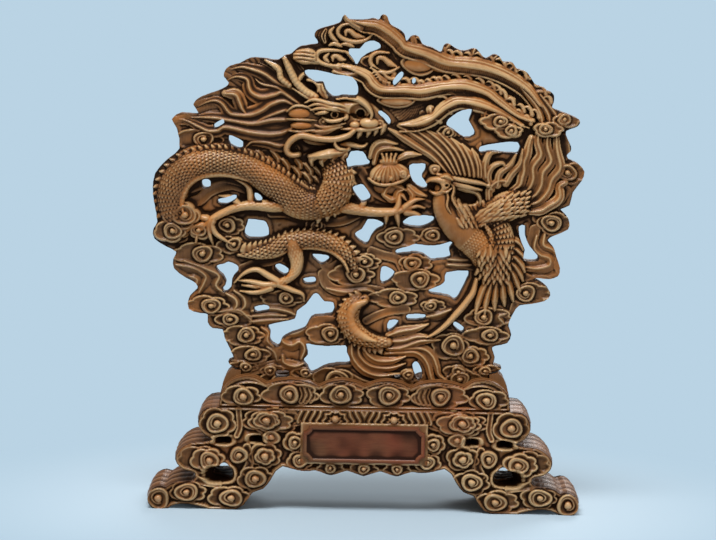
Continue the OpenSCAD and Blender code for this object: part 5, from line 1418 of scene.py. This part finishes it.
# Clouds right of the middle: across, up, half-width, half-height, foot of the form, its rise, lobes, curl
STAND_CLOUDS = [
    (46.0, 44.6, 15.5, 6.8, 0.2, 2.2, 7, False), (46.6, 44.6, 11.6, 5.6, 1.0, 2.2, 6, False),
    (48.4, 45.0, 6.8, 4.4, 1.6, 2.6, 5, True), (72.6, 43.2, 9.6, 8.0, 0.4, 2.4, 5, False),
    (72.7, 43.1, 5.2, 5.0, 1.3, 2.6, 0, True), (81.5, 24.8, 11.6, 7.2, 0.2, 2.2, 6, False),
    (77.4, 24.6, 9.0, 6.2, 1.0, 2.2, 6, False), (76.4, 24.4, 4.8, 4.4, 1.6, 2.6, 0, True),
    (61.8, 27.3, 4.2, 4.1, 1.3, 2.6, 0, True), (49.0, 27.2, 8.6, 6.6, 0.4, 2.2, 6, False),
    (49.0, 27.0, 5.2, 4.3, 1.4, 2.5, 5, True), (53.4, 15.4, 9.6, 6.8, 0.3, 2.4, 6, False),
    (53.6, 15.7, 5.0, 4.5, 1.4, 2.6, 0, True), (66.6, 6.0, 11.0, 6.0, 0.3, 2.4, 6, False),
    (65.4, 5.9, 5.4, 4.4, 1.4, 2.6, 0, True), (87.0, 8.4, 9.6, 5.8, 0.3, 2.4, 6, False),
    (87.6, 8.5, 5.6, 4.5, 1.4, 2.6, 0, True), (101.6, 5.0, 5.6, 5.2, 1.0, 2.6, 0, True)]
APRON_CLOUDS = [
    (34.6, 34.4, 5.8, 5.4, 0.8, 2.4, 5, False), (34.2, 34.2, 3.4, 3.2, 1.5, 2.6, 0, True),
    (31.8, 24.8, 6.8, 5.2, 0.5, 2.4, 5, False), (31.4, 25.2, 3.6, 3.4, 1.5, 2.6, 0, True),
    (16.5, 21.4, 7.4, 3.6, 0.5, 2.2, 5, False), (16.5, 21.7, 2.7, 2.5, 1.4, 2.4, 0, True),
    (38.0, 46.0, 5.4, 5.2, 0.2, 2.0, 5, False)]
MIDDLE_CLOUDS = [(0.0, 21.2, 7.8, 3.8, 0.5, 2.2, 5, False), (0.0, 21.6, 2.8, 2.6, 1.4, 2.4, 0, True)]
RAIL_CLOUDS = [
    (11.6, 57.6, 11.4, 6.2, 0.3, 2.4, 6, False), (12.0, 58.0, 5.6, 4.4, 1.4, 2.6, 0, True),
    (37.0, 57.6, 15.0, 6.4, 0.3, 2.4, 5, False), (37.4, 57.8, 4.6, 4.4, 1.6, 2.6, 0, True),
    (61.4, 56.4, 10.4, 5.6, 0.4, 2.4, 5, False), (60.2, 56.2, 5.0, 4.2, 1.4, 2.6, 0, True)]
REAR_CLOUDS = [
    (19.0, 34.5, 11.5, 7.4, 0.4, 2.4, 6, False), (19.0, 34.5, 6.0, 4.8, 1.4, 2.6, 0, True)]
REAR_MIDDLE = [(0.0, 33.5, 11.0, 7.6, 0.4, 2.4, 7, False), (0.0, 33.5, 6.0, 5.0, 1.4, 2.6, 0, True)]

# Waves on top of the rails, points and half-width, and dark slots in the feet
WAVES = [([(48, 62.6), (54, 64.4), (61, 64.2), (68, 61.4)], 1.7),
         ([(24, 62.6), (31, 64.8), (39, 65), (47, 63)], 1.5),
         ([(2, 61.8), (8, 64), (14, 64.2), (21, 62.4)], 1.5),
         ([(31.6, 54), (30.4, 57.4), (31.4, 61)], 1.1), ([(29.2, 54), (27.8, 57.2), (28.8, 60.6)], 1.1),
         ([(26.8, 54.2), (25.4, 57), (26.4, 60)], 1.0),
         ([(63, 37), (61.6, 41), (62, 46), (62.4, 50)], 1.3), ([(58, 31), (56.4, 24), (58.4, 19)], 2.0),
         ([(72, 12.4), (80, 13.6), (84, 15.6)], 1.8)]
SLOTS = [(69.6, 34.4, 4.4, 2.1, -14), (53.4, 35.4, 3.8, 1.9, -14), (71.4, 17.4, 7.4, 4.4, -16)]

# Turns of a curl and the share of it that its bead takes up
CURL_KINDS = [(0.9, 0.42), (1.5, 0.32), (1.2, 0.38), (1.6, 0.34), (1.0, 0.36)]


def stand_form(base, crown):
    """Foot and rise of a cloud on the stand, deeper and bolder than listed."""
    return 1.5 * base - 2.0, 1.4 * crown


def carve_stand(face, facing, names, front):
    """Carves the feet, one apron and one rail, seen from the front or the back."""
    for name, past in zip(names, FACES_PAST):
        face.claim(name, facing, past)
    inside = face.inside
    face.widen(3, inside)
    rail = inside & (face.owner == face.number(names[3]))
    rims = [(part, face.free_reach(part, 3.0)) for part in (rail, inside & ~rail)]
    for part, rim in rims:
        face.raise_brim(part, rim, DEEPEST, 2.8, 0.9, 2.6, 1.6)
    lotus_band(face)
    for side in (-1, 1):
        face.cloud(side * PEG_CLOUD_X, PEG_CLOUD_Z, 4.6, 3.2, -0.2, 2.2, 0, 0.4 * side, side)
    for points, half in WAVES:
        for side in (-1, 1):
            face.stroke([(side * x, z) for x, z in points], half, 0.2, 0.8, channels(1, 1.8))
    middle = MIDDLE_CLOUDS if front else MIDDLE_CLOUDS + REAR_MIDDLE
    paired = STAND_CLOUDS + APRON_CLOUDS + RAIL_CLOUDS + ([] if front else REAR_CLOUDS)
    for k, (x, z, rx, rz, base, crown, lobes, curl) in enumerate(paired):
        turns, bead = CURL_KINDS[k % len(CURL_KINDS)]
        for side in (-1, 1):
            lean = 0.3 if side > 0 else math.pi - 0.3
            face.cloud(side * x, z, rx, rz, *stand_form(base, crown), lobes, lean, side, curl,
                       turns=turns, bead=bead)
    for x, z, rx, rz, base, crown, lobes, curl in middle:
        face.cloud(x, z, rx, rz, *stand_form(base, crown), lobes, 0.0, 1, curl)
    face.fill_with_curls(inside & (face.height < -2.0), 3.6, 5.0, -1.6, 3.0)
    face.fill_with_ribbons(inside & (face.height < -1.9), 3.0, -2.2, 1.7)
    if front:
        bed = (np.abs(face.x)[None, :] < BED_X) & (np.abs(face.z - BED_Z)[:, None] < BED_RISE)
        face.height[bed] = np.clip(face.height, *BED_LEVELS)[bed]
    for x, z, rx, rz, level in SLOTS:
        for side in (-1, 1):
            face.pit(side * x, z, rx, rz, level, 1.0)
    face.height += 0.06 * face.noise(5, 7) + 0.1 * face.noise(18, 8)
    for part, rim in rims:
        face.round_rim(rim, 1.7, -0.6, STAND_MOST, part)


def lotus_band(face):
    """Rings of petals under the ledge, round two beads."""
    gx, gz = face.x[None, :], face.z[:, None]
    side_x, rise = np.abs(gx) - LOTUS_X, gz - LOTUS_Z
    far = np.hypot(side_x, 1.2 * rise)
    petal = np.abs(np.sin(5 * np.arctan2(rise, side_x)))
    crest = np.abs(saw((far + 1.1 * petal) / 3.1)) ** 1.3
    band = (np.abs(gx) < LOTUS_HALF) & (gz > LOTUS_FOOT) & (gz < LOTUS_TOP)
    face.height[band] = (-0.7 + 1.9 * crest)[band]
    for side in (-1, 1):
        face.dome(side * LOTUS_X, LOTUS_BEAD, 1.8, 1.8, 0.6, 2.0, None, BEAD_TONE)


fronts, backs = [Carving((-HALF_WIDTH, -1), (HALF_WIDTH, 68), CELL, DEEPEST) for _ in range(2)]
carve_stand(fronts, -1, FEET + ["front_apron", "front_cloud_rail"], True)
carve_stand(backs, 1, FEET + ["rear_apron", "rear_cloud_rail"], False)
stain = np.exp(-((fronts.x - 44) / 13) ** 2)[None, :] * np.exp(-((fronts.z - 50) / 12) ** 2)[:, None]
patches = np.clip(fronts.noise(30, 12), 0, 1)
fronts.tone = np.clip(fronts.tone + 0.5 * stain + 0.35 * patches, 0, 1)
marks_front = (*fronts.shade_and_wear(), fronts.tone)
marks_back = (*backs.shade_and_wear(), backs.tone)
plain = [fronts.even(value) for value in (0.25, 0.15, 0.0)]
for name in FEET:
    block_piece(fronts, name, -STAND_FLOOR - fronts.height, STAND_FLOOR + backs.height, marks_front,
                marks_back, "stand", "stand", STAND, flare=0.011, slices=20, flutes=4, flute_depth=0.9)
# Depths of the hidden sides of the aprons, and of the front and the rear rail
APRON_INNER, FRONT_GAP, REAR_GAP = 20.0, 10.6, 6.4
for face, name, way, floor, inner, marks in (
        (fronts, "front_apron", -1, STAND_FLOOR, APRON_INNER, marks_front),
        (backs, "rear_apron", 1, STAND_FLOOR, APRON_INNER, marks_back),
        (fronts, "front_cloud_rail", -1, RAIL_FLOOR, FRONT_GAP, marks_front),
        (backs, "rear_cloud_rail", 1, RAIL_FLOOR, REAR_GAP, marks_back)):
    depths = [way * (floor + face.height), face.even(way * inner)]
    block_piece(face, name, *depths[::-way], *[marks, plain][::-way], "stand", "stand", STAND,
                slices=12, flutes=2, flute_depth=0.5)

# Short rails at the ends: the depths of their fronts and backs
END_FRONT, END_BACK = -10.5, 6.3
# Where they begin across, and their foot and top
END_INNER, END_FOOT, END_TOP = 61.9, 51, 68.4
# How far out the rails at the ends reach: up, across
END_PROFILE = [(51, 72), (56, 72), (62, 70.6), (65.8, 68.8), (68.4, 66.4)]
ends = Carving((-HALF_WIDTH, 50), (HALF_WIDTH, 70), CELL, 0.0)
out_x, up_z = np.abs(ends.x)[None, :], ends.z[:, None]
widest = np.interp(up_z, *zip(*END_PROFILE))
ends.cover[(out_x > END_INNER) & (out_x < widest) & (up_z > END_FOOT) & (up_z < END_TOP)] = 1.0
# They stop two cells below the panel, where it comes down over them
over = panel.cover[:ends.z.size] > 0.02
for _ in range(2):
    over[:-1] |= over[1:]
ends.cover[np.maximum.accumulate(over, 0)] = 0
ends_plain = [ends.even(value) for value in (0.3, 0.2, 0.1)]
for name, side in (("left_end_rail", -1), ("right_end_rail", 1)):
    ends.owner[:, side * ends.x > 0] = ends.number(name)
    block_piece(ends, name, ends.even(END_FRONT), ends.even(END_BACK), ends_plain, ends_plain,
                "stand", "stand", STAND, slices=4)

# The plaque: a plain sunk field inside a rounded border
PLAQUE_FACE, PLAQUE_BACK = 28.7, 26.5
# Half the width of the border, its rise, and where the sunk field begins
BORDER, BORDER_RISE, FIELD = 1.05, 0.78, 2.0
plate = Carving((-32, 23), (32, 45), PLAQUE_CELL, 0.0)
plate.cover = plate.stamp("plaque")
plate.owner[:] = plate.number("plaque")
inward = plate.free_reach(plate.inside, 4.0)
sunk = inward > FIELD
plate.height = BORDER_RISE * arc((inward - BORDER) / BORDER) + 0.05 * plate.noise(9, 3) * sunk
plate.tone = np.clip(0.2 + 0.3 * plate.x / 30, 0, 0.6)[None, :] + 0.3 * plate.noise(26, 9)
plate.tone = np.clip(plate.tone, 0, 1)
# Painted shade at the foot of the border, and a blotchy darkening over the sunk field that is partly dirt
# and partly painted shade
crevice_shade = np.clip(0.5 - 0.25 * (inward - FIELD), 0, 0.4)
plate.dirt_and_shade = crevice_shade * sunk + 0.18 * (1 + plate.noise(18, 10)) * sunk
plaque_marks = (*plate.shade_and_wear(), plate.tone)
block_piece(plate, "plaque", -PLAQUE_FACE - plate.height, plate.even(-PLAQUE_BACK), plaque_marks,
            plaque_marks, "stand", "plaque", PLAQUE)

# Parts of the frame that stay as they are get a finish
FINISHES = {"carving": CARVED, "stand": STAND, "ground": GROUND, "plaque": PLAQUE, "bamboo": BAMBOO}
for part in frame["record"]["subparts"]:
    kept = frame["nodes"][part["node"]]
    if not kept.hide_render:
        kept.data.materials.clear()
        kept.data.materials.append(FINISHES[part["material_slot"]])

# Floor: lit near the object, and farther off an even pale colour as seen by the camera
FLOOR_BLUE, FAR_BLUE = tint(184, 204, 218), tint(186, 211, 228)
# Radius of the floor in metres, corners of its outline, and where the even colour starts and is full
FLOOR_REACH, FLOOR_CORNERS, NEAR, FAR = 40.0, 96, 0.07, 0.24
# Where the soft boxes look, in metres
LIGHT_AIM = (0, 0, 0.12)


def studio_floor():
    """A wide round floor."""
    turns = np.linspace(0, TAU, FLOOR_CORNERS, endpoint=False)
    corners = [(FLOOR_REACH * math.cos(a), FLOOR_REACH * math.sin(a), 0.0) for a in turns]
    mesh = bpy.data.meshes.new("studio_floor")
    mesh.from_pydata(corners, [], [tuple(range(FLOOR_CORNERS))])
    floor = bpy.data.objects.new("studio_floor", mesh)
    bpy.context.scene.collection.objects.link(floor)
    paper = bpy.data.materials.new("backdrop_paper")
    paper.use_nodes = True
    tree = paper.node_tree
    surface = tree.nodes["Principled BSDF"]
    surface.inputs["Base Color"].default_value = FLOOR_BLUE
    surface.inputs["Roughness"].default_value = 0.75
    surface.inputs["Specular IOR Level"].default_value = 0.2
    place = node(tree, "ShaderNodeTexCoord", {}, {}, "Object")
    away = node(tree, "ShaderNodeVectorMath", {"operation": "LENGTH"}, {0: place}, "Value")
    off = node(tree, "ShaderNodeMapRange", {"interpolation_type": "SMOOTHSTEP"}, {0: away, 1: NEAR, 2: FAR})
    seen = node(tree, "ShaderNodeLightPath", {}, {}, "Is Camera Ray")
    even = node(tree, "ShaderNodeEmission", {}, {"Color": FAR_BLUE})
    both = node(tree, "ShaderNodeMixShader", {},
                {0: off * seen, 1: Knob(tree, surface.outputs[0]), 2: even})
    tree.links.new(both.socket, tree.nodes["Material Output"].inputs[0])
    mesh.materials.append(paper)


def area_light(name, place, size, watts):
    """A soft box that looks at the object."""
    lamp = bpy.data.lights.new(name, "AREA")
    lamp.shape = "RECTANGLE"
    lamp.size, lamp.size_y = size
    lamp.energy = watts
    made = bpy.data.objects.new(name, lamp)
    made.location = place
    made.rotation_mode = "QUATERNION"
    made.rotation_quaternion = (Vector(LIGHT_AIM) - Vector(place)).to_track_quat("-Z", "Y")
    bpy.context.scene.collection.objects.link(made)


studio_floor()
area_light("top_soft_box", (-0.2, -0.6, 1.4), (0.8, 0.6), 22)
area_light("front_fill", (0.7, -1.6, 0.6), (1.0, 1.0), 4.5)
area_light("rear_fill", (0.5, 1.5, 1.0), (1.0, 0.8), 15)
world = bpy.data.worlds.new("studio_air")
bpy.context.scene.world = world
world.use_nodes = True
air = world.node_tree
light = air.nodes["Background"]
light.inputs["Color"].default_value = (0.98, 0.98, 0.97, 1.0)
light.inputs["Strength"].default_value = 0.27
view = node(air, "ShaderNodeBackground", {}, {"Color": FAR_BLUE})
camera_ray = node(air, "ShaderNodeLightPath", {}, {}, "Is Camera Ray")
sky = node(air, "ShaderNodeMixShader", {}, {0: camera_ray, 1: Knob(air, light.outputs[0]), 2: view})
air.links.new(sky.socket, air.nodes["World Output"].inputs[0])

# Camera at the photograph's angle: a little above, long lens, turned by a degree
AIM = Vector((-4.5, 0, 117.7)) * MM
DISTANCE, RISE, ROLL = 1.6, math.radians(6), math.radians(1)
PHOTO_WIDTH, FOCAL_PIXELS, SENSOR = 716, 3200, 36.0
camera = bpy.data.objects.new("camera", bpy.data.cameras.new("camera"))
bpy.context.scene.collection.objects.link(camera)
camera.data.sensor_width = SENSOR
camera.data.lens = FOCAL_PIXELS / PHOTO_WIDTH * SENSOR
camera.data.clip_start, camera.data.clip_end = 0.05, 50
back = Vector((0, -math.cos(RISE), math.sin(RISE)))
flat_right, flat_up = Vector((1, 0, 0)), Vector((0, math.sin(RISE), math.cos(RISE)))
right = flat_right * math.cos(ROLL) + flat_up * math.sin(ROLL)
up = flat_up * math.cos(ROLL) - flat_right * math.sin(ROLL)
turn = Matrix((right, up, back)).transposed()
camera.matrix_world = Matrix.Translation(AIM + back * DISTANCE) @ turn.to_4x4()
bpy.context.scene.camera = camera
bpy.context.scene.view_settings.view_transform = "Standard"
